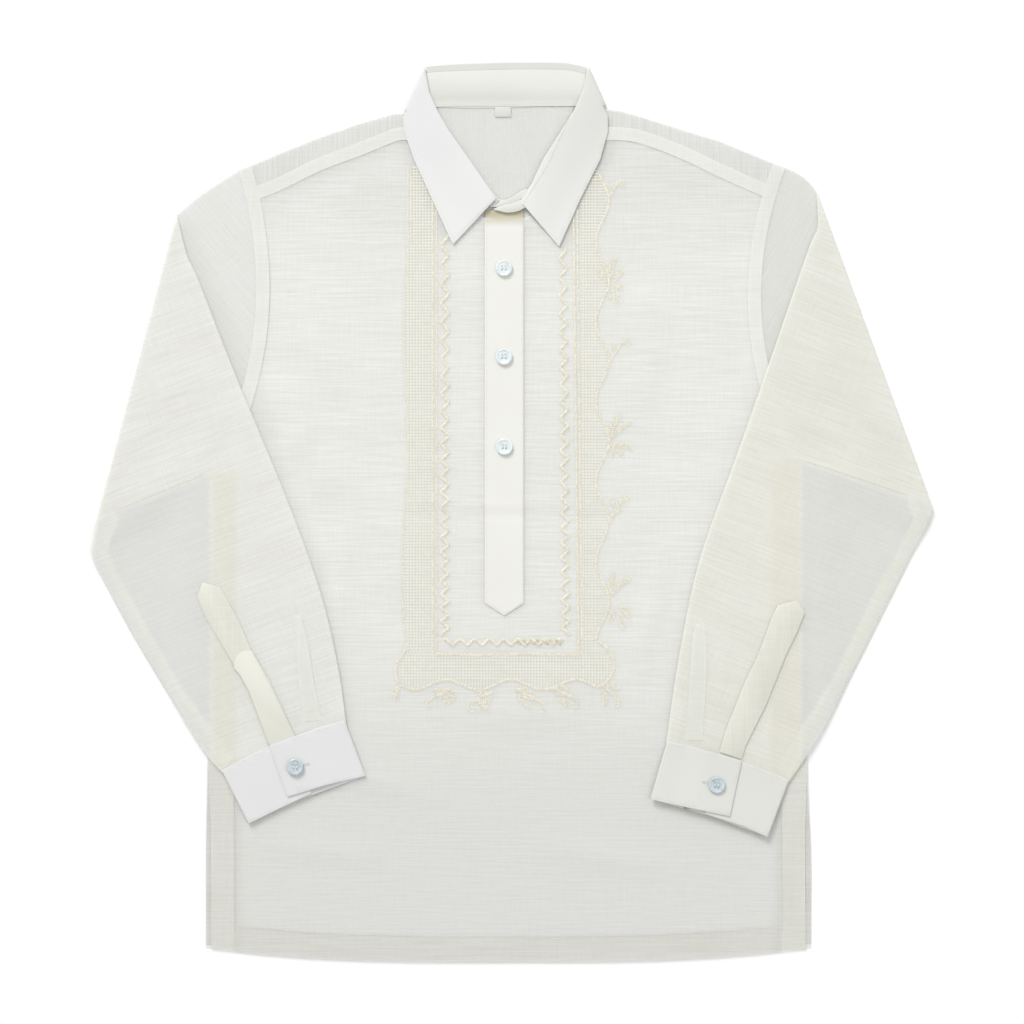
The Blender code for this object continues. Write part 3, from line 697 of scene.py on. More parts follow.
def sleeve_rows(side, fold, spacing):
    """Plan rows from underarm to overarm in the flat layout, along smooth edges, with each row's bow."""
    table = SLEEVES[side]
    unders, overs, bows = [], [], []
    for row in table["rows"]:
        row = dict(zip(SLEEVE_COLUMNS, row))
        over, under = (row["over_x"], row["over_y"]), (row["under_x"], row["under_y"])
        overs.append(fold.unfold(over) if row["over_folded"] else Vector((*over, 0)))
        unders.append(fold.unfold(under) if row["under_folded"] else Vector((*under, 0)))
        bows.append(row["bow"])

    def spline(values, k, t):
        return on_curve(
            values[max(k - 1, 0)], values[k], values[k + 1], values[min(k + 2, len(values) - 1)], t,
        )

    made = []
    for k in range(len(bows) - 1):
        longest = max((unders[k + 1] - unders[k]).length, (overs[k + 1] - overs[k]).length)
        count = max(round(longest / spacing), 1)
        last = k == len(bows) - 2
        for step in range(count + (1 if last else 0)):
            t = step / count
            made.append((spline(unders, k, t), spline(overs, k, t), bows[k] + (bows[k + 1] - bows[k]) * t))
    return made


def sleeve_sag(side, fold):
    """Gives how far the folded sleeve sinks at a place."""
    (armpit_x, armpit_y), (end_x, end_y) = UNDERARM_TOPS[side]
    outward = SLEEVES[side]["outward"]
    along = Vector((end_x - armpit_x, end_y - armpit_y, 0)).normalized()
    below = -left_of(along)
    if below.y > 0:
        below.negate()
    body_edge = Vector((armpit_x + outward * SAG_FROM_BODY, 0, 0))
    armpit = Vector((armpit_x, armpit_y, 0)) + below * 2.0

    def open_floor(x, y):
        place = Vector((x, y, 0))
        from_body = soft_step((place - body_edge).x * outward / SAG_RUN)
        from_underarm = soft_step((place - armpit).dot(below) / SAG_RUN)
        from_fold = soft_step(-fold.reach(place) / SAG_RUN)
        return from_body * from_underarm * from_fold

    def is_bare(x, y):
        """1 where the sleeve has only the floor under it, where it gets the painted grey shade."""
        place = Vector((x, y, 0))
        outside = soft_step(((place - body_edge).x * outward + SAG_FROM_BODY) / 2.0)
        return outside * soft_step((place - armpit).dot(below) / 2.0)

    return open_floor, is_bare


SEAM_UNDER_SLEEVE = {"left": (-271.0, -246.0), "right": (232.0, 260.0)}  # x of the side seams' edges
OVER_UNDERARM = 0.75  # how much less painted grey shade the cloth gets over the underarm allowance
PRESSED_FULL, PRESSED_END, PRESSED_RUN = 12.0, 14.4, 1.6  # where that holds, from the underarm seam inwards
STRIP_PAINTED_SHADE = {"left": 0.6, "right": 1.0}  # painted grey shade on a sleeve's own lower strip, which has the floor under it
CUFF_LIFT = 0.3  # the upper ply rises a little into the cuff
CUFF_LIFT_RUN = 13.0


def past_cuff_seam(side):
    """Gives how far a place lies past the sleeve's end, which is nearly straight, into the cuff."""
    last = dict(zip(SLEEVE_COLUMNS, SLEEVES[side]["rows"][-1]))
    over = Vector((last["over_x"], last["over_y"], 0))
    under = Vector((last["under_x"], last["under_y"], 0))
    along = (under - over).normalized()
    into_cuff = left_of(along)
    if into_cuff.y > 0:
        into_cuff.negate()
    return lambda x, y: (Vector((x, y, 0)) - over).dot(into_cuff)


def make_sleeve(side):
    """A flattened tube laid out as a grid, folded over its outer edge, sunk where nothing carries it."""
    table = SLEEVES[side]
    fold = Fold(table["fold"], table["outward"], SLEEVE_AXIS_Z)
    laid = sleeve_rows(side, fold, SLEEVE_CELL)
    across = round(170.0 / SLEEVE_CELL)
    shares = [0.0, 0.003, 0.01] + [k / across for k in range(1, across)] + [0.99, 0.997, 1.0]
    ring = [(share, -1) for share in shares] + [(share, 1) for share in reversed(shares[:-1])]
    bm = bmesh.new()
    bmesh.ops.create_grid(bm, x_segments=len(laid) - 1, y_segments=len(ring) - 1, size=0.5)
    weft = toward(math.radians(table["weft_degrees"]))
    warp = left_of(weft)
    top_ply = bm.verts.layers.float.new("top")
    for vert in bm.verts:
        row = round((vert.co.x + 0.5) * (len(laid) - 1))
        share, ply = ring[round((vert.co.y + 0.5) * (len(ring) - 1))]
        under, over, bow = laid[row]
        place = bowed_place(under, over, share, bow)
        from_edge = min(share, 1 - share) * (over - under).length
        rise = PLY_RISE * min(math.sqrt(from_edge / 1.2), 1.0)
        vert.co = (place.x, place.y, TUBE_MIDDLE_Z + ply * rise)
        vert[top_ply] = ply
    bmesh.ops.remove_doubles(bm, verts=bm.verts, dist=1e-3)
    bmesh.ops.recalc_face_normals(bm, faces=bm.faces)
    weave_map(bm, lambda co: (co.dot(weft), co.dot(warp)))
    fold.bend(bm)
    open_floor, is_bare = sleeve_sag(side, fold)
    past_seam = past_cuff_seam(side)
    last_bow = table["rows"][-1][-1]
    bare = bm.verts.layers.float.new("bare")
    over_seam = bm.verts.layers.float.new("over_seam")
    tucked = bm.verts.layers.float.new("tucked")
    seam_from, seam_to = SEAM_UNDER_SLEEVE[side]
    # painted grey shade where only the floor is under the sleeve, less over the underarm allowance; painted
    # shadow beside the edges, on the lower strip
    for vert in bm.verts:
        x, y, z = vert.co
        vert[bare] = STRIP_PAINTED_SHADE[side]
        vert[tucked] = 0.7 * tuck(x, y) if z < SLEEVE_AXIS_Z - 0.2 else 0.0
        if z > SLEEVE_AXIS_Z:
            in_strip = distance_to_line(UNDERARMS[side], x, y)
            pressed = soft_step(in_strip / PRESSED_FULL) * soft_step((PRESSED_END - in_strip) / PRESSED_RUN)
            vert[bare] = is_bare(x, y) * (1 - OVER_UNDERARM * pressed)
            if y < UNDERARM_TOPS[side][0][1]:
                vert[over_seam] = 0.7 * soft_step((x - seam_from) / 3.0) * soft_step((seam_to - x) / 3.0)
            level = (z - SLEEVE_AXIS_Z) / 2.6
            vert.co.z -= SAG_DEPTH * open_floor(x, y)
            from_cuff = soft_step((-past_seam(x, y) - last_bow) / CUFF_LIFT_RUN)
            vert.co.z += level * sleeve_crease(side, x, y) * from_cuff
            if z > SLEEVE_AXIS_Z + 1.3:
                vert.co.z += CUFF_LIFT * (1 - from_cuff)
    thicken(bm, CLOTH_WALL)
    return finish_piece(bm, f"sleeve_{side}_cloth", SLEEVE_CLOTHS[side], ["sleeve_" + side])


# Creases of the folded sleeves' upper strips, with the gathers into the cuffs
SLEEVE_CREASES = {
    "left": (
        (-284, 222, -206, 16, 13, 2.0),
        (-206, 16, -160, -130, 11, 1.2),
        (-200, -70, -183, -190, 5, 0.9),
        (-192, -70, -175, -190, 5, -0.5),
        (-176, -150, -166, -192, 4, 0.8),
        (-222, -110, -190, -192, 6, 0.9),
        (-262, -140, -242, -214, 5, 0.6),
        (-300, 150, -250, 60, 16, 0.8),
        (-330, 40, -262, 10, 14, 0.7),
        (-340, -20, -270, -50, 16, -0.6),
        (-300, -90, -240, -70, 14, 0.6),
    ),
    "right": (
        (173, -99, 176, -210, 5, 0.9),
        (166, -99, 169, -210, 5, -0.5),
        (154, -170, 149, -205, 4, 0.8),
        (192, -115, 178, -215, 6, 0.9),
        (240, -150, 226, -225, 5, 0.6),
        (290, 170, 250, 70, 16, 0.8),
        (330, 60, 262, 20, 14, 0.7),
        (345, -10, 280, -50, 16, -0.6),
        (300, -80, 240, -60, 14, 0.6),
    ),
}


def sleeve_crease(side, x, y):
    return crease_height(SLEEVE_CREASES[side], x, y) + ripple(x, y, 0.5, 45.0)


# Fused pieces

def bevel_sharp(bm, width, angle=55):
    sharp = [e for e in bm.edges if e.is_manifold and e.calc_face_angle() > math.radians(angle)]
    bmesh.ops.bevel(
        bm, geom=sharp, offset=width, segments=2, profile=0.5, affect="EDGES", material=-1,
        clamp_overlap=True,
    )


def make_fused(node, material, bevel=0.35, spring=None):
    """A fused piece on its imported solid, its edges softened. spring gives how far it stands up at a place."""
    bm = plain_solid(node)
    if spring:
        cut_cells(bm, 7.0)
    bevel_sharp(bm, bevel)
    if spring:
        for vert in bm.verts:
            vert.co.z += spring(*vert.co)
    return finish_piece(bm, node + "_cloth", material, [node])


TIP_SPRING = 0.1  # the collar's points stand up this far
LEAF_DROOP = 1.9  # the leaf sinks this far from its roll line to its outer edge
DROOP_FROM, DROOP_RUN = 10.0, 26.0  # from the roll line
LEAF_ROLLS = (((-74.0, 396.0), (-62.0, 350.0), (-13.5, 281.0)), ((66.0, 394.0), (54.0, 359.0), (10.0, 276.0)))
CUFF_SPRING = {"left": 0.6, "right": 3.0}  # the cuffs' ends stand up this far
CUFF_LENGTH = 62.0


def leaf_spring(x, y, z):
    """The upper leaf sinks towards its outer edge, and its points lift again."""
    if z < 1.3:
        return 0.0
    from_roll = min(distance_to_line(line, x, y) for line in LEAF_ROLLS)
    upper = min((z - 1.3) / 3.2, 1.0)
    droop = LEAF_DROOP * soft_step((from_roll - DROOP_FROM) / DROOP_RUN) * upper
    return TIP_SPRING * soft_step((300.0 - y) / 70.0) - droop


def cuff_spring(side):
    """Gives how far a cuff stands up at a place: nothing at its seam, the most at its end."""
    past_seam = past_cuff_seam(side)
    return lambda x, y, z: CUFF_SPRING[side] * soft_step(past_seam(x, y) / CUFF_LENGTH)


def plate_piece(name, outline, low, high, material, bevel=0.25, replaces=()):
    """A flat piece of fused cloth: its outline's face pushed up, with softened edges."""
    bm = bmesh.new()
    face = bm.faces.new([bm.verts.new((x, y, low)) for x, y in outline])
    raised = bmesh.ops.extrude_face_region(bm, geom=[face])["geom"]
    upper = [part for part in raised if isinstance(part, bmesh.types.BMVert)]
    bmesh.ops.translate(bm, vec=(0, 0, high - low), verts=upper)
    bmesh.ops.recalc_face_normals(bm, faces=bm.faces)
    bevel_sharp(bm, bevel)
    return finish_piece(bm, name, material, replaces)


PLACKET_UPPER_PLY = 5.7  # the sleeve placket's upper ply lies above this height
PLACKET_PRESSED = 0.25  # and is pressed down this far


def make_sleeve_placket(side):
    """A doubled strip of the sheer cloth. The left one's lower part is closer, whiter and round at its top."""
    node = "sleeve_placket_" + side
    bm = plain_solid(node)
    bevel_sharp(bm, 0.3)
    bm.verts.layers.float.new("bare")  # no painted grey shade, as it lies on the sleeve
    for vert in bm.verts:
        if vert.co.z > PLACKET_UPPER_PLY:
            vert.co.z -= PLACKET_PRESSED
    weave_map(bm, upright_grain)
    piece = finish_piece(bm, node + "_cloth", BOUND_CLOTH, [node])
    if side == "left":
        outline = (
            (-249.6, -140.0), (-249.4, -135.0), (-247.6, -130.2), (-244.2, -126.4), (-239.8, -124.6),
            (-233.4, -124.4), (-214.9, -160.0), (-193.5, -203.0), (-215.8, -213.8), (-227.0, -184.0),
            (-236.0, -161.0), (-244.0, -146.5),
        )
        plate_piece("sleeve_placket_left_lap", outline, 6.1, 6.7, LAP_CLOTH, bevel=0.2)
    return piece


PLACKET_RUN_ON = 10.5  # the placket runs on up under the band's ends
PLACKET_WALL = 0.7


def make_placket():
    """The fused placket, pressed to the front's own creases, dipping under the collar band at its top."""
    bm = upper_side("placket", 0.0)
    top = max(vert.co.y for vert in bm.verts)
    for vert in bm.verts:
        if vert.co.y > top - 1:
            vert.co.y += PLACKET_RUN_ON
    cut_cells(bm, CELL)
    for vert in bm.verts:
        dip = soft_step((vert.co.y - top + 8) / 12)
        vert.co.z = front_height(vert.co.x, vert.co.y) + PLACKET_Z - FRONT_Z - dip
    thicken(bm, PLACKET_WALL)
    bevel_sharp(bm, 0.2, 70)
    return finish_piece(bm, "placket_strip", PLACKET_CLOTH, ["placket"])


# The collar's parts that show inside its front opening
RIGHT_STAND = (
    (60.5, 366.0), (56.5, 356.0), (47.0, 345.0), (38.0, 330.0), (29.5, 314.0), (20.0, 298.0), (8.6, 283.0),
    (8.0, 274.5), (12.0, 273.0), (18.0, 284.0), (33.0, 309.0), (49.0, 337.0), (60.0, 356.0), (66.0, 366.0),
)
LEFT_STAND = (
    (-70.5, 366.0), (-62.0, 349.0), (-45.0, 322.5), (-27.0, 296.0), (-11.2, 280.6), (-14.5, 277.4),
    (-29.0, 292.0), (-50.0, 322.0), (-68.0, 349.0), (-77.0, 366.0),
)
UNDER_END = (
    (-20.0, 279.0), (-13.0, 281.2), (-6.0, 280.6), (0.0, 283.2), (8.6, 289.0), (13.0, 291.0), (14.0, 287.0),
    (7.0, 280.2), (1.0, 276.4), (-6.0, 274.2), (-13.0, 274.2), (-20.0, 274.0),
)
OVER_END = (
    (-17.0, 272.0), (-13.0, 274.0), (-6.0, 276.0), (1.0, 277.6), (7.5, 280.4), (14.0, 284.0), (17.0, 279.0),
    (11.0, 273.0), (7.0, 270.8), (1.0, 269.2), (-5.0, 268.9), (-11.0, 270.2),
)


def make_collar():
    band = solid_of("collar_band")
    bmesh.ops.bisect_plane(
        band, geom=everything(band), dist=1e-4, plane_co=(0, 357.0, 0), plane_no=(0, 1, 0), clear_inner=True,
    )
    bmesh.ops.holes_fill(band, edges=[edge for edge in band.edges if edge.is_boundary], sides=0)
    bmesh.ops.dissolve_limit(band, angle_limit=0.01, verts=band.verts, edges=band.edges)
    for y in (369.0, 371.5, 374.0, 377.0):
        bmesh.ops.bisect_plane(band, geom=everything(band), dist=1e-4, plane_co=(0, y, 0), plane_no=(0, 1, 0))
    bevel_sharp(band, 0.3)
    for vert in band.verts:  # towards its seam the band is pressed flat, its top the most
        near_seam = soft_step((377.0 - vert.co.y) / 10.0)
        vert.co.z -= near_seam * (0.35 + 0.95 * (vert.co.z - 1.5) / 1.2)
    band = finish_piece(band, "collar_band_back", BAND_CLOTH, ["collar_band"])
    leaf = make_fused("collar_leaf", COLLAR_CLOTH, spring=leaf_spring)
    plate_piece("collar_stand_right", RIGHT_STAND, 3.1, 4.0, BAND_CLOTH)
    plate_piece("collar_stand_left", LEFT_STAND, 3.1, 4.0, BAND_CLOTH)
    plate_piece("collar_band_under_end", UNDER_END, 2.1, 3.0, BAND_CLOTH)
    plate_piece("collar_band_over_end", OVER_END, 3.35, 4.25, BAND_CLOTH)
    roll = smooth_line(((-77.0, 396.6), (-60.0, 397.9), (-6.0, 399.6), (48.0, 399.2), (69.0, 394.6)))
    strip_between(beside(roll, 3.6), beside(roll, -1.6), 2.72, "collar_roll_ply", ROLL_CLOTH)
    seam = smooth_line(((-69.0, 365.6), (-40.0, 365.0), (-8.0, 365.2), (28.0, 366.4), (60.0, 368.0)))
    strip_between(beside(seam, 1.6), beside(seam, -1.4), (1.0, 0.84), "neck_seam_ply", BAND_CLOTH)
    return {"band": band, "leaf": leaf}


# Lines and what is sewn along them

def smooth_line(points, step=3.0):
    """Points at an even step along a smooth curve through a few given ones."""
    line = [Vector((x, y, 0)) for x, y in points]
    line = [2 * line[0] - line[1]] + line + [2 * line[-1] - line[-2]]
    found = []
    for before, start, end, after in zip(line, line[1:], line[2:], line[3:]):
        count = max(int((end - start).length / step), 1)
        found += [on_curve(before, start, end, after, k / count) for k in range(count)]
    return found + [line[-2]]


def straight_line(start, end, step=3.0):
    start, end = Vector((*start, 0)), Vector((*end, 0))
    count = max(round((end - start).length / step), 1)
    return [start.lerp(end, k / count) for k in range(count + 1)]


def bowed_line(start, end, bow, count=40):
    start, end = Vector((*start, 0)), Vector((*end, 0))
    return [bowed_place(start, end, k / count, bow) for k in range(count + 1)]


def beside(line, distance):
    """The line moved sideways, to its left for a positive distance."""
    moved = []
    for k, point in enumerate(line):
        along = (line[min(k + 1, len(line) - 1)] - line[max(k - 1, 0)]).normalized()
        moved.append(point + left_of(along) * distance)
    return moved


class Surface:
    """The top of a finished piece, for seating what lies on it."""

    def __init__(self, piece):
        self.tree = BVHTree.FromPolygons(
            [v.co for v in piece.data.vertices], [tuple(p.vertices) for p in piece.data.polygons]
        )

    def height(self, x, y, otherwise=None):
        hit = self.tree.ray_cast(Vector((x * MM, y * MM, 1.0)), Vector((0, 0, -1)))[0]
        return hit.z / MM if hit else otherwise


def strip_between(first, second, z, name, material, grain=None):
    """A strip of cloth between two lines with equal counts of points.

    z is a height, a tuple of one for each line, or a list of one for each point along both.
    """
    bm = bmesh.new()
    edges = []
    for k, line in enumerate((first, second)):
        level = z[k] if isinstance(z, tuple) else z
        levels = level if isinstance(level, list) else [level] * len(line)
        verts = [bm.verts.new((point.x, point.y, height)) for point, height in zip(line, levels)]
        edges += [bm.edges.new(pair) for pair in zip(verts, verts[1:])]
    bmesh.ops.bridge_loops(bm, edges=edges)
    weave_map(bm, grain or straight_grain)
    thicken(bm, CLOTH_WALL)
    return finish_piece(bm, name, material)


def threads(name, lines, radius, material, sides=6, flatten=1.0, surface=None):
    """Threads along lines of seated points, as one mesh of tubes. A line may give a thickness for each point.

    Where they are flattened, they are pressed towards a surface.
    """
    curve = bpy.data.curves.new(name, "CURVE")
    curve.dimensions = "3D"
    curve.bevel_depth = radius
    curve.bevel_resolution = sides // 2 - 2
    curve.use_fill_caps = True
    for line in lines:
        spline = curve.splines.new("POLY")
        spline.points.add(len(line) - 1)
        for k, point in enumerate(line):
            spline.points[k].co = (point[0], point[1], point[2], 1.0)
            spline.points[k].radius = point[3] if len(point) > 3 else 1.0
    holder = new_object(name + "_line", curve)
    made = evaluated_mesh(holder)
    bm = bmesh.new()
    bm.from_mesh(made)
    bpy.data.objects.remove(holder)
    bpy.data.meshes.remove(made)
    if surface:
        for vert in bm.verts:
            level = surface.height(vert.co.x, vert.co.y, vert.co.z)
            vert.co.z = level + (vert.co.z - level) * flatten
    return finish_piece(bm, name, material)


def seated(line, surface, lift):
    """The line's points on a surface, as coordinates. A point past its edge keeps its neighbour's height."""
    points, height = [], None
    for point in line:
        height = surface.height(point.x, point.y, height)
        if height is None:
            height = FRONT_Z
        points.append((point.x, point.y, height + lift) + ((point.z,) if point.z else ()))
    return points


def stitch_pairs(line, pitch, length):
    """The two ends of each stitch in a row along a line."""
    points = even(line, 0.4)
    step, reach = round(pitch / 0.4), round(length / 0.4)
    return [(points[k], points[k + reach]) for k in range(0, len(points) - reach, step)]


def stitches(line, surface, pitch=2.4, length=1.6, lift=0.05):
    return [seated(pair, surface, lift) for pair in stitch_pairs(line, pitch, length)]


# Seam allowances and turnings that show through the sheer cloth

ARMHOLES = {
    "left": {"shoulder": (-244.8, 308.0), "armpit": (-270.0, 37.8), "bow": -27.0, "inward": -1},
    "right": {"shoulder": (244.8, 309.8), "armpit": (259.2, 48.6), "bow": 28.5, "inward": 1},
}
YOKE_SEAMS = {
    "left": (
        (-235.0, 279.0), (-207.0, 290.5), (-172.0, 307.5), (-134.0, 322.0), (-104.0, 334.0), (-92.0, 334.6),
    ),
    "right": ((80.0, 334.8), (96.0, 335.0), (116.0, 331.8), (151.2, 318.6), (187.2, 301.5), (229.0, 283.0)),
}
SIDE_LINES = {
    "left": ((-269.6, 30.0), (-270.6, -97.0), (-271.2, -220.0), (-270.6, -290.0), (-270.4, -392.4)),
    "right": ((258.6, 40.0), (261.6, -97.0), (263.4, -220.0), (263.4, -290.0), (264.0, -393.0)),
}
UNDERARMS = {
    "left": (
        (-367.5, -8.0), (-375.5, -26.0), (-376.6, -40.0), (-367.6, -60.6), (-338.3, -114.6), (-305.0, -169.4),
        (-260.0, -230.0),
    ),
    "right": (
        (369.5, 7.0), (376.0, -3.0), (370.8, -15.0), (355.4, -46.5), (334.0, -88.4), (302.0, -151.4),
        (250.0, -237.0),
    ),
}
UNDERARM_TOPS = {"left": ((-270.6, 36.0), (-366.0, -2.6)), "right": ((259.8, 47.0), (362.0, 12.8))}
HEM_TURN = 23.0
ALLOWANCE = 11.0
UNDERARM_ALLOWANCE = 13.0
UNDERARM_TOP_ALLOWANCE = 12.0
INSIDE_PLY = 0.75  # an allowance inside a sleeve lies this far under its upper ply
VENT_TURN = 21.0


def hem_y(x):
    """The hem: a shallow curve that rises towards the side vents."""
    return -405.0 + 13.0 * abs((x + 3.0) / 272.0) ** 3


def make_allowances(sleeves):
    for side in SIDES:
        inward = INWARD[side]
        hole = ARMHOLES[side]
        seam = bowed_line(hole["shoulder"], hole["armpit"], hole["bow"])
        edges = beside(seam, 0.9 * hole["inward"]), beside(seam, ALLOWANCE * -hole["inward"])
        strip_between(*edges, FELLED_Z, f"armhole_allowance_{side}", ALLOWANCE_CLOTH)
        seam = smooth_line(YOKE_SEAMS[side])
        edges = beside(seam, -0.7), beside(seam, ALLOWANCE)
        strip_between(*edges, FELLED_Z - 0.05, f"yoke_allowance_{side}", ALLOWANCE_CLOTH)
        seam = smooth_line(SIDE_LINES[side])
        edges = seam, beside(seam, VENT_TURN * inward)
        strip_between(*edges, BETWEEN_Z, f"side_allowance_{side}", TURNING_CLOTH, upright_grain)
        seam = beside(smooth_line(UNDERARMS[side]), 1.2 * inward)
        inner = beside(seam, UNDERARM_ALLOWANCE * inward)
        surface = Surface(sleeves[side])
        levels = [
            min(surface.height(point.x, point.y, 4.4) for point in pair) - INSIDE_PLY
            for pair in zip(inner, beside(seam, 3.0 * inward))
        ]
        strip_between(seam, inner, levels, f"underarm_allowance_{side}", UNDERARM_CLOTH)
        seam = straight_line(*UNDERARM_TOPS[side])
        edges = seam, beside(seam, UNDERARM_TOP_ALLOWANCE * -inward)
        strip_between(*edges, BETWEEN_Z + 0.2, f"underarm_top_allowance_{side}", ALLOWANCE_CLOTH)
    xs = [-249.4 + 4.92 * k for k in range(101)]
    hem = [Vector((x, hem_y(x) + 0.8, 0)) for x in xs]
    strip_between(hem, beside(hem, HEM_TURN), BETWEEN_Z, "hem_turning_front", HEM_CLOTH)


# The back's turned side edges, which show just outside the front's
BACK_EDGES = {
    "left": ((-267.0, 26.0), (-273.6, -219.6), (-275.2, -318.6), (-275.2, -389.0)),
    "right": ((257.4, 36.0), (264.6, -221.4), (269.1, -304.0), (269.1, -388.0)),
}
# Pleats into the cuffs: the line along each pleat's folded edge, then the line along its other edge
PLEATS = {
    "left": (
        ((-197.4, -93.0), (-193.5, -108.0), (-191.6, -152.0), (-186.4, -192.8)),
        ((-190.4, -93.0), (-184.0, -115.0), (-177.4, -155.0), (-169.6, -190.6)),
    ),
    "right": (
        ((173.4, -101.0), (174.6, -124.0), (174.4, -152.0), (170.3, -210.6)),
        ((164.4, -101.0), (161.4, -124.0), (159.0, -160.0), (155.4, -206.6)),
    ),
}


def make_turnings(sleeves):
    for side in SIDES:
        inward = INWARD[side]
        edge = smooth_line(BACK_EDGES[side])
        edges = beside(edge, 0.3 * inward), beside(edge, 5.4 * inward)
        strip_between(*edges, BACK_Z + 0.35, f"back_turning_{side}", SLIVER_CLOTH)
        folded, other = (smooth_line(line) for line in PLEATS[side])
        folded, other = even(folded, 4.0), even(other, 4.0)
        count = min(len(folded), len(other))
        surface = Surface(sleeves[side])
        levels = [surface.height(point.x, point.y, 4.4) + 0.35 for point in folded[:count]]
        strip_between(folded[:count], other[:count], levels, f"cuff_pleat_{side}", PLEAT_CLOTH)


def make_stitching(pieces):
    """Rows of machine stitches that show, and the sunk lines of the hem's and vents' edges in a dark thread
    that paints their shade.
    """
    surfaces = {name: Surface(piece) for name, piece in pieces.items()}
    on_front = surfaces["front"]
    # dark lines along the hem's and vents' turned edges and the underarm seams: painted shade along those edges
    hem = [Vector((-246.0 + 5.0 * k, hem_y(-246.0 + 5.0 * k) + HEM_TURN, 0)) for k in range(97)]
    sunk = [seated(hem, on_front, 0.0)]
    for side, top in (("left", -240.0), ("right", -262.0)):
        vent = beside(smooth_line(SIDE_LINES[side]), VENT_TURN * INWARD[side])
        sunk.append(seated([point for point in vent if -380 < point.y < top], on_front, 0.0))
    for side in SIDES:
        seam = straight_line(*UNDERARM_TOPS[side])
        sunk.append(seated(seam[2:-3], surfaces["sleeve_" + side], 0.0))
    rows = []
    for name, points in STITCHED:
        rows += stitches([Vector((x, y, 0)) for x, y in points], surfaces[name])
    threads("stitching", rows, 0.18, SEWING_THREAD, sides=4)
    threads("edge_shade_lines", sunk, 0.2, SEAM_SHADE_THREAD, sides=4)
    # the collar's seam as a dark line: painted shade along the seam
    seams = [seated(smooth_line(line), surfaces["leaf"], 0.0) for line in COLLAR_SEAMS]
    threads("collar_seam_lines", seams, 0.22, SEAM_SHADE_THREAD, sides=4)


# Where stitches show: the piece, then the corners of the line
STITCHED = (
    ("placket", ((-22.8, 262.0), (-23.0, -80.8), (-5.9, -91.0), (9.2, -80.8), (9.0, 262.0))),
    ("band", ((-66.0, 366.4), (-28.0, 366.0), (56.0, 368.6))),
    ("leaf", ((-98.4, 358.0), (-96.0, 345.0), (-84.6, 315.0), (-52.6, 246.0), (-34.6, 263.4),
              (-20.0, 278.0))),
    ("leaf", ((86.6, 357.0), (85.8, 342.0), (76.0, 315.0), (58.4, 281.0), (41.4, 245.0), (27.8, 256.0),
              (12.4, 269.6))),
    ("sleeve_placket_left", ((-271.0, -96.4), (-254.0, -91.2))),
    ("sleeve_placket_left", ((-272.4, -99.2), (-255.4, -94.0))),
    ("sleeve_placket_right", ((235.0, -101.8), (252.6, -103.8))),
    ("cuff_left", ((-259.0, -233.6), (-236.4, -277.0), (-203.0, -259.6))),
    ("cuff_left", ((-258.0, -231.8), (-218.0, -211.6))),
    ("cuff_left", ((-215.0, -212.0), (-190.0, -201.0), (-151.6, -189.4), (-133.6, -234.4), (-155.0, -240.0),
                   (-200.8, -253.6), (-211.0, -225.4), (-215.0, -212.0))),
    ("cuff_right", ((141.0, -208.2), (169.0, -214.4), (203.6, -224.8), (194.2, -270.4), (126.6, -255.6),
                    (141.0, -208.2))),
    ("cuff_right", ((209.0, -227.0), (247.0, -242.6), (228.8, -289.0), (200.0, -277.0))),
)
# The seam between the collar's leaf and its band, along the opening
COLLAR_SEAMS = (
    ((67.5, 396.0), (60.5, 377.0), (54.0, 359.1), (43.0, 335.6), (32.4, 312.3), (21.0, 294.0), (10.4, 277.6)),
)


# Embroidery: a U-shaped panel of drawn-thread work, corded lines, a zigzag and a vine with sprigs

EMBROIDERY = {
    "top": 312.0, "bottom": -127.8,
    "cord_left": -69.3, "cord_right_top": 56.7, "cord_right_bottom": 61.2,
    "zigzag_left": -60.3, "zigzag_right": 47.3, "zigzag_bottom": -117.0,
    "outer_left": -95.0,
    "vine": 81.4, "vine_swing": 5.8, "vine_period": 72.0, "vine_crest": 279.9,
    "scallop": -155.3, "scallop_swing": 4.6, "scallop_period": 58.5, "scallop_crest": -59.4,
}


def vine_x(y):
    e = EMBROIDERY
    turn = math.tau * (y - e["vine_crest"]) / e["vine_period"]
    return e["vine"] + e["vine_swing"] * math.cos(turn)


def scallop_y(x):
    e = EMBROIDERY
    turn = math.tau * (x - e["scallop_crest"]) / e["scallop_period"]
    return e["scallop"] + e["scallop_swing"] * math.cos(turn)


def outer_left_x(y):
    return EMBROIDERY["outer_left"] + 2.6 * math.sin(y / 37.0) - 1.6 * math.cos(y / 90.0)


def zigzag(start, end, swing, first_pitch, last_pitch):
    """A corded zigzag between two places, its pitch changing along the way."""
    start, end = Vector((*start, 0)), Vector((*end, 0))
    length = (end - start).length
    along = (end - start) / length
    side = left_of(along)
    line, travelled, sign = [], 0.0, 1
    while travelled < length:
        pitch = first_pitch + (last_pitch - first_pitch) * travelled / length
        peak = start + along * travelled + side * swing * sign
        for share in (-0.07, 0.0, 0.07):
            line.append(peak + along * pitch * share - side * swing * sign * abs(share) * 1.5)
        travelled += pitch / 2
        sign = -sign
    return line


def satin_leaf(base, angle, length):
    """A satin-stitched leaf: short threads laid slantwise from its middle out to both sides."""
    way = toward(angle)
    left = left_of(way)
    width = min(2.7, length * 0.2)
    count = max(int(length / 1.8), 3)
    lines = []
    for k in range(count):
        t = (k + 0.5) / count
        root = Vector((*base, 0)) + way * length * t + left * length * 0.1 * math.sin(math.pi * t)
        reach = width * math.sin(math.pi * (0.12 + 0.8 * t))
        for hand in (-1, 1):
            lines.append([root, root + left * hand * reach + way * reach * 0.8])
    return lines


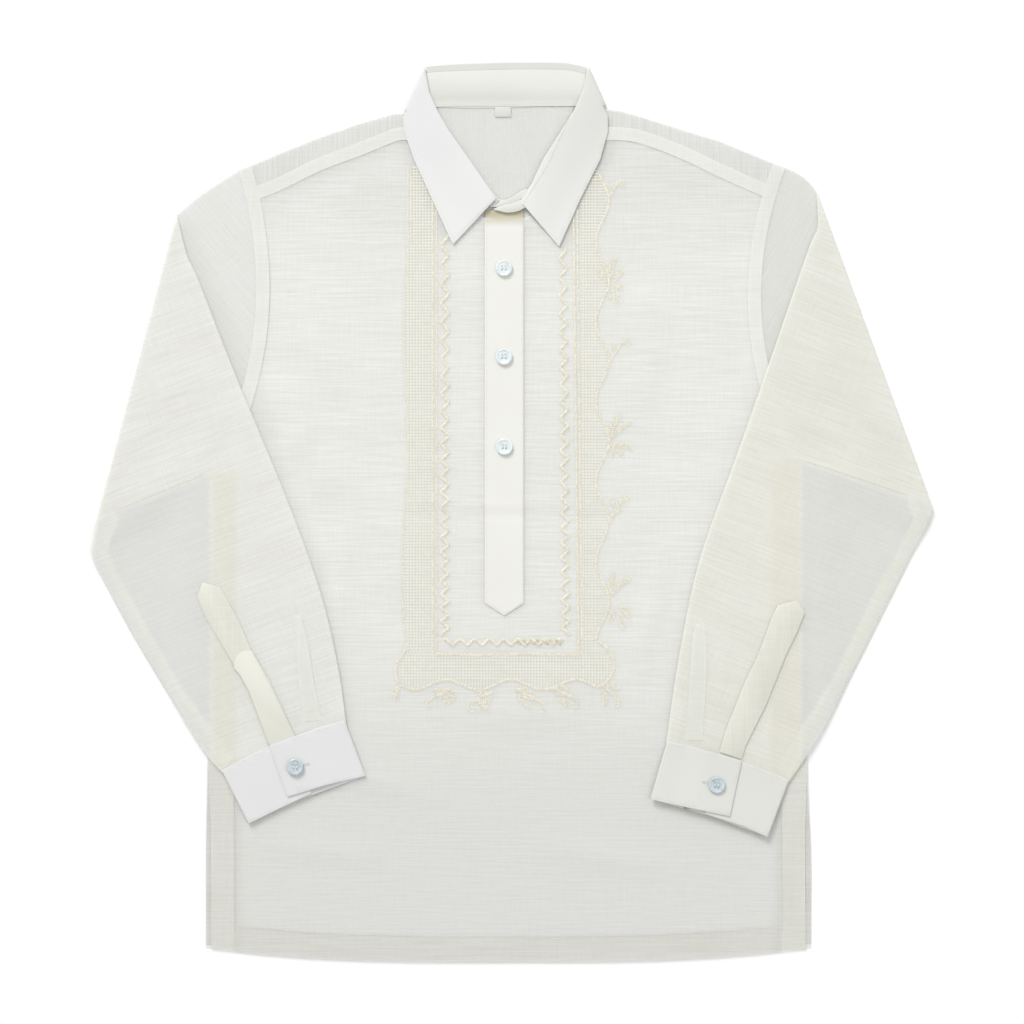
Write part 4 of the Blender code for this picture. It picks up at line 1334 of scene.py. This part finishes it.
def even(line, step):
    """The line's points at an even step."""
    found, left_over = [line[0]], 0.0
    for before, after in zip(line, line[1:]):
        span = (after - before).length
        place = step - left_over
        while place <= span:
            found.append(before.lerp(after, place / span))
            place += step
        left_over = span - (place - step)
    return found


def twisted(line, spread, pitch, thickness=1.0):
    """The two strands of a twisted cord. The third value is a strand's thickness, most where it is on top."""
    points = even(line, pitch / 5)
    strands = []
    for hand in (-1, 1):
        strand = []
        for k, (point, shifted) in enumerate(zip(points, beside(points, 1.0))):
            turn = math.tau * k / 5
            place = point + (shifted - point) * spread * math.cos(turn) * hand
            place.z = thickness * (1.0 + 0.45 * math.sin(turn) * hand)
            strand.append(place)
        strands.append(strand)
    return strands


def curl(base, angle, length, turn):
    """A stem that runs out and hooks round at its end. turn is +1 to the left or -1 to the right."""
    points = []
    place = Vector((*base, 0))
    steps = 14
    for k in range(steps + 1):
        t = k / steps
        point = place.copy()
        point.z = 0.9
        points.append(point)
        heading = angle + turn * (0.35 * t + 3.6 * max(t - 0.62, 0.0) / 0.38)
        place = place + toward(heading) * length / steps * (1.15 - 0.35 * t)
    return points


# kind, x, y, degrees, length, turn
SPRIGS = (
    ("curl", 84.6, 280, 62, 30, -1), ("leaf", 88, 292, 20, 11, 0), ("leaf", 85.5, 288, 96, 10, 0),
    ("leaf", 86.5, 206, 118, 17, 0), ("leaf", 88.5, 209, 74, 22, 0), ("leaf", 91, 207, 48, 13, 0),
    ("leaf", 89, 202, -4, 10, 0), ("leaf", 89.5, 199, -34, 8, 0), ("leaf", 92.5, 200, 30, 8, 0),
    ("leaf", 91, 197, -76, 12, 0), ("leaf", 88, 199, -98, 8, 0),
    ("curl", 86.8, 136, 58, 34, -1), ("leaf", 91.5, 144, 82, 8, 0), ("leaf", 87, 64, 64, 27, 0),
    ("leaf", 89, 66, 38, 24, 0), ("leaf", 89, 62, -18, 20, 0), ("leaf", 88, 61, -44, 17, 0),
    ("leaf", 87.5, 60, -80, 12, 0), ("leaf", 87, 68, 92, 10, 0),
    ("curl", 87.2, -8, 64, 32, -1), ("leaf", 90, -3, 30, 10, 0), ("leaf", 92, 3, 100, 9, 0),
    ("leaf", 95, 8, 24, 12, 0), ("leaf", 90, -76, 84, 22, 0), ("leaf", 92, -73, 42, 20, 0),
    ("leaf", 88, -74, 128, 10, 0), ("leaf", 91, -85, -108, 14, 0), ("leaf", 95, -84, -46, 15, 0),
    ("leaf", 96, -90, -78, 16, 0),
    ("curl", -56, -158.4, 205, 34, 1), ("leaf", -52, -161, 196, 17, 0), ("leaf", -50, -164, 212, 14, 0),
    ("leaf", -56, -160, 176, 15, 0), ("leaf", -53, -159, 240, 9, 0),
    ("curl", -18, -160.6, 206, 36, 1), ("leaf", -17, -165, 200, 16, 0), ("leaf", -19, -168, 222, 13, 0),
    ("leaf", -16, -161, 184, 15, 0),
    ("curl", 6, -160, -26, 38, -1), ("leaf", 3, -165, -12, 17, 0), ("leaf", 5, -168, -38, 14, 0),
    ("leaf", 2, -161, -2, 16, 0), ("leaf", 7, -157, -64, 12, 0),
    ("curl", 37, -158, -24, 36, -1), ("leaf", 38, -163, -10, 15, 0), ("leaf", 40, -167, -36, 13, 0),
    ("leaf", 36, -160, 4, 14, 0),
    ("curl", 81, -156.6, -38, 30, -1), ("leaf", 82, -159, -88, 15, 0), ("leaf", 86, -157, -14, 12, 0),
    ("leaf", -101, -155, 236, 13, 0), ("leaf", -104, -157, 262, 12, 0),
)
GRID_PITCH = 2.7  # drawn threads are bundled this far apart


GROUND_CREAM = 0.5  # how much creamier the cloth looks between the bundled threads


def in_drawn_work(x, y):
    """1 inside the drawn-thread ground's two sides and its foot, fading out over their edges."""
    e = EMBROIDERY
    across = max(min(x - outer_left_x(y), e["cord_left"] - x), min(x - e["cord_right_bottom"], vine_x(y) - x))
    side = min(across, y - e["bottom"] + 4.0, e["top"] - y)
    foot = min(y - scallop_y(x), e["bottom"] - y, x + 102.0, 90.0 - x)
    return soft_step((max(side, foot) + 2.0) / 4.0)


def drawn_thread_lines():
    """The bundled warps and wefts that are left in the drawn-thread ground, in its two sides and its foot."""
    e = EMBROIDERY
    left, right, top, bottom = e["cord_left"], e["cord_right_bottom"], e["top"], e["bottom"]
    ends = []
    for k in range(int((top - bottom) / GRID_PITCH) + 1):
        y = bottom + k * GRID_PITCH
        ends += [((outer_left_x(y), y), (left, y)), ((right, y), (vine_x(y), y))]
    for k in range(1, 10):
        ends.append(((left - k * GRID_PITCH, bottom), (left - k * GRID_PITCH, top)))
        if k < 6:
            ends.append(((right + k * GRID_PITCH, bottom), (right + k * GRID_PITCH, top - 10)))
    x = -98.0
    while x < 88.0:
        ends.append(((x, scallop_y(x)), (x, bottom)))
        x += GRID_PITCH
    for k in range(1, 9):
        y = bottom - k * GRID_PITCH
        ends.append(((-102.0, y), (90.0, y)))
    return [straight_line(*pair, 7.0) for pair in ends]


def make_embroidery(surface):
    e = EMBROIDERY
    left, right, bottom = e["cord_left"], e["cord_right_bottom"], e["bottom"]
    vine = [Vector((vine_x(304.0 - 3.0 * k), 304.0 - 3.0 * k, 0)) for k in range(141)]
    outer = [Vector((outer_left_x(312.0 - 3.0 * k), 312.0 - 3.0 * k, 0)) for k in range(144)]
    wave = [Vector((x, scallop_y(x), 0)) for x in range(-88, 79, 3)]
    lobe_left = smooth_line((
        (outer_left_x(-118.0), -118.0), (-97.0, -126.0), (-103.4, -135.8), (-104.6, -147.0), (-98.6, -156.4),
        wave[0].xy,
    ))
    lobe_right = smooth_line((
        wave[-1].xy, (84.0, -154.0), (90.4, -144.6), (91.8, -135.6), (88.2, -127.0), (82.8, -119.6),
        vine[-1].xy,
    ))
    fine, bold = [], []
    for offset in (-1.9, 1.3):
        fine += twisted(straight_line((left + offset, 300.0), (left + offset, bottom)), 0.4, 2.6, 0.75)
        top = (e["cord_right_top"] - offset, 272.0)
        fine += twisted(straight_line(top, (right - offset, bottom)), 0.45, 2.6)
    fine += twisted(vine, 0.7, 4.2) + twisted(outer, 0.9, 4.2, 0.5)
    bold += twisted(lobe_left + wave[1:-1] + lobe_right, 0.8, 5.2, 0.95)
    foot = [Vector((x, bottom - 0.4 + 0.5 * math.sin(x / 13.0), 0)) for x in range(-68, 64, 2)]
    bold += twisted(foot, 1.0, 4.6)
    zigzags = [
        zigzag((e["zigzag_left"], 249.0), (e["zigzag_left"], -113.0), 3.1, 18.0, 11.6),
        zigzag((e["zigzag_left"], -117.0), (e["zigzag_right"], -117.0), 2.6, 13.6, 12.0),
        zigzag((e["zigzag_right"] - 1.5, 236.0), (e["zigzag_right"] + 1.0, -112.0), 3.1, 17.0, 12.0),
    ]
    sprigs = []
    for kind, x, y, degrees, length, turn in SPRIGS:
        angle = math.radians(degrees)
        if kind == "curl":
            stem = curl((x, y), angle, length, turn)
            sprigs += [stem, curl((x + 1.5, y - 1.0), angle - 0.08 * turn, length * 0.86, turn)]
        else:
            sprigs += satin_leaf((x, y), angle, length)
    ground = drawn_thread_lines()
    for line in ground:
        for point in line:
            bundle = noise.noise(Vector((point.x / 8, point.y / 8, 1.3)))
            point.z = 1.0 + 0.6 * bundle  # bundles differ in thickness
    knotted = zigzag((4.0, -116.4), (e["zigzag_right"] + 1.0, -117.2), 2.0, 6.4, 5.4)
    for name, lines, lift, radius, thread, sides, flatten in (
        ("embroidery_cords", fine, 0.1, 0.46, EMBROIDERY_THREAD, 6, 0.26),
        ("embroidery_bold_cords", bold, 0.12, 0.62, EMBROIDERY_THREAD, 6, 0.26),
        ("embroidery_zigzag", zigzags, 0.2, 1.45, EMBROIDERY_THREAD, 8, 0.26),
        ("embroidery_sprigs", sprigs, 0.12, 0.54, EMBROIDERY_THREAD, 6, 0.26),
        ("drawn_thread_ground", ground, 0.04, 0.24, GROUND_THREAD, 4, 0.25),
        ("embroidery_knots", [knotted], 0.7, 0.6, AGED_THREAD, 6, 0.6),
    ):
        laid = [seated(line, surface, lift) for line in lines]
        threads(name, laid, radius, thread, sides=sides, flatten=flatten, surface=surface)


# Buttons, label and stitches

BUTTONHOLE_REACH = 12.4  # from the button's middle to the buttonhole's far end
BUTTONHOLE_DEGREES = {"left": 12.0, "right": 168.0}
BUTTON_HOLE_PLACES = (-1.5, 1.5)  # from the button's middle, both ways
BUTTON_HOLE_RADIUS = 0.7


def make_buttonhole(side, surface):
    """The stitched end of a cuff's buttonhole, where it comes out from under the button."""
    low, high = (Vector(corner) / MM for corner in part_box("button_cuff_" + side))
    way = toward(math.radians(BUTTONHOLE_DEGREES[side]))
    left = left_of(way)
    middle = (low + high) / 2
    middle.z = 0
    lines = []
    for offset in (-0.75, 0.75):
        start, end = (middle + way * reach + left * offset for reach in (5.0, BUTTONHOLE_REACH))
        lines.append(zigzag(start.xy, end.xy, 0.35, 0.9, 0.9))
    start, end = (middle + way * BUTTONHOLE_REACH + left * across for across in (-1.2, 1.2))
    lines.append(zigzag(start.xy, end.xy, 0.5, 0.6, 0.6))
    laid = [seated(line, surface, 0.05) for line in lines]
    threads("buttonhole_cuff_" + side, laid, 0.2, SEAM_SHADE_THREAD, sides=4)


def make_button(node, resin, rise=0.0):
    """A turned button with a rim, a dished face and four holes, on its packed place."""
    low, high = (Vector(corner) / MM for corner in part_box(node))
    low.z, high.z = low.z + rise, high.z + rise
    middle = (low + high) / 2
    radius, height = (high.x - low.x) / 2, high.z - low.z
    profile = (
        (0.0, 0.0), (radius - 1.6, 0.0), (radius - 0.5, 0.35), (radius, 1.0), (radius, height - 0.8),
        (radius - 0.3, height - 0.25), (radius - 0.9, height), (radius - 1.5, height - 0.1),
        (radius - 2.4, height - 0.65), (radius - 3.6, height - 0.95), (0.0, height - 1.05),
    )
    bm = bmesh.new()
    verts = [bm.verts.new((middle.x + r, middle.y, low.z + z)) for r, z in profile]
    edges = [bm.edges.new(pair) for pair in zip(verts, verts[1:])]
    bmesh.ops.spin(
        bm, geom=verts + edges, cent=(middle.x, middle.y, 0), axis=(0, 0, 1), angle=math.tau, steps=48,
        use_merge=True,
    )
    bmesh.ops.remove_doubles(bm, verts=bm.verts, dist=1e-3)
    button = finish_piece(bm, node + "_disc", resin, [node])
    bm = bmesh.new()
    for dx in BUTTON_HOLE_PLACES:
        for dy in BUTTON_HOLE_PLACES:
            made = bmesh.ops.create_cone(
                bm, cap_ends=True, segments=16, radius1=BUTTON_HOLE_RADIUS, radius2=BUTTON_HOLE_RADIUS,
                depth=8.0,
            )
            bmesh.ops.translate(bm, vec=(middle.x + dx, middle.y + dy, middle.z), verts=made["verts"])
    bmesh.ops.scale(bm, vec=(MM,) * 3, verts=bm.verts)
    cutter = new_object("holes", mesh_of("holes", bm))
    cut = button.modifiers.new("holes", "BOOLEAN")
    cut.object = cutter
    cut.solver = "EXACT"
    drilled = evaluated_mesh(button)
    button.modifiers.clear()
    button.data = drilled
    bpy.data.objects.remove(cutter)
    drilled.set_sharp_from_angle(angle=math.radians(40))
    top = middle.z + height / 2 - 0.85
    turns = [math.pi * k / 6 for k in range(7)]
    loops = [
        [(middle.x + dx, middle.y + 1.6 * math.cos(turn), top - 1.2 + 1.7 * math.sin(turn)) for turn in turns]
        for dx in BUTTON_HOLE_PLACES
    ]
    threads(node + "_thread", loops, 0.5, SEWING_THREAD)


def make_label():
    bm = plain_solid("label")
    for vert in bm.verts:
        vert.co.z = 0.95 + (0.4 if vert.co.z > 1.8 else 0.0)
    sides = [edge for edge in bm.edges if edge.calc_face_angle() > 1.0]
    bmesh.ops.bevel(bm, geom=sides, offset=0.15, segments=2, profile=0.5, affect="EDGES", material=-1)
    finish_piece(bm, "label_ribbon", LABEL_SATIN, ["label"])


# Floor, light and camera

def make_stage():
    bm = bmesh.new()
    bmesh.ops.create_grid(bm, x_segments=1, y_segments=1, size=FLOOR_SIZE / 2)
    floor = new_object("floor", mesh_of("floor", bm))
    material, shader = new_material("matt white card")
    shader.inputs["Base Color"].default_value = linear("#FCFCFC")
    shader.inputs["Roughness"].default_value = 0.9
    shader.inputs["Specular IOR Level"].default_value = 0.0
    floor.data.materials.append(material)

    world = bpy.data.worlds.new("soft room")
    world.use_nodes = True
    background = world.node_tree.nodes["Background"]
    background.inputs["Color"].default_value = (1.0, 1.0, 1.0, 1.0)
    background.inputs["Strength"].default_value = 0.63
    bpy.context.scene.world = world

    for name, place, size, power in (
        ("large soft box", (-2.4, 5.0, 4.2), 3.0, 305.0),
        ("fill", (1.8, -0.4, 2.6), 2.2, 12.0),
    ):
        light = bpy.data.lights.new(name, "AREA")
        light.shape = "DISK"
        light.size = size
        light.energy = power
        lamp = new_object(name, light)
        lamp.location = place
        lamp.rotation_euler = (-Vector(place)).to_track_quat("-Z", "Y").to_euler()


def make_camera():
    lens = bpy.data.cameras.new("camera")
    lens.lens = CAMERA_LENS
    lens.sensor_width = 36.0
    lens.clip_end = 10.0
    camera = new_object("camera", lens)
    camera.location = (0.0, 0.0, CAMERA_HEIGHT)
    bpy.context.scene.camera = camera


# Each sheet's cut as far as it shows, all round on a tube, in metres and square metres
SHEET_COLUMNS = ("piece", "width", "length", "area", "held", "rests_on", "with_pieces")
SHEETS = (
    ("back_panel", 0.545, 0.639, 0.330, "laid", (), ("back_turning_left", "back_turning_right")),
    ("yoke_panel", 0.488, 0.190, 0.063, "folded", ("back_panel",), ()),
    ("front_panel", 0.539, 0.739, 0.359, "laid", ("back_panel", "yoke_panel"), (
        "hem_turning_front", "side_allowance_left", "side_allowance_right", "armhole_allowance_left",
        "armhole_allowance_right", "yoke_allowance_left", "yoke_allowance_right")),
    ("sleeve_left_cloth", 0.544, 0.543, 0.168, "folded", ("front_panel",), (
        "underarm_allowance_left", "underarm_top_allowance_left", "cuff_pleat_left")),
    ("sleeve_right_cloth", 0.525, 0.547, 0.174, "folded", ("front_panel",), (
        "underarm_allowance_right", "underarm_top_allowance_right", "cuff_pleat_right")),
    ("placket_strip", 0.035, 0.366, 0.0127, "laid", ("front_panel",), ()),
    ("collar_leaf_cloth", 0.460, 0.075, 0.0197, "folded", ("yoke_panel", "front_panel"), ()),
    ("collar_band_back", 0.190, 0.040, 0.0065, "folded", ("collar_leaf_cloth",), (
        "collar_stand_left", "collar_stand_right", "collar_band_under_end", "collar_band_over_end",
        "collar_roll_ply", "neck_seam_ply")),
    ("sleeve_placket_left_cloth", 0.025, 0.160, 0.0036, "folded", ("sleeve_left_cloth",), (
        "sleeve_placket_left_lap",)),
    ("sleeve_placket_right_cloth", 0.025, 0.160, 0.0036, "folded", ("sleeve_right_cloth",), ()),
    ("cuff_left_cloth", 0.255, 0.060, 0.0138, "folded", ("back_panel", "front_panel"), ()),
    ("cuff_right_cloth", 0.255, 0.060, 0.0138, "folded", ("front_panel",), ()),
    ("label_ribbon", 0.0144, 0.0100, 0.00014, "laid", ("yoke_panel",), ()),
)


def declare_sheets():
    for row in SHEETS:
        row = dict(zip(SHEET_COLUMNS, row))


make_camera()
make_stage()
make_back()
front = make_front()
make_yoke()
sleeves = {side: make_sleeve(side) for side in SIDES}
make_allowances(sleeves)
make_turnings(sleeves)
stitched = {"front": front, "placket": make_placket(), **make_collar()}
stitched.update({"sleeve_" + side: sleeves[side] for side in sleeves})
for side in SIDES:
    stitched["cuff_" + side] = make_fused("cuff_" + side, CUFF_CLOTH, spring=cuff_spring(side))
    stitched["sleeve_placket_" + side] = make_sleeve_placket(side)
    make_button("button_cuff_" + side, CUFF_BUTTON_RESIN, 1.1)
    make_buttonhole(side, Surface(stitched["cuff_" + side]))
make_stitching(stitched)
make_label()
for k in (1, 2, 3):
    make_button(f"button_front_{k}", BUTTON_RESIN, -0.6)
make_embroidery(Surface(front))
declare_sheets()

scene = bpy.context.scene
scene.view_settings.view_transform = "Standard"
scene.cycles.transparent_max_bounces = 40
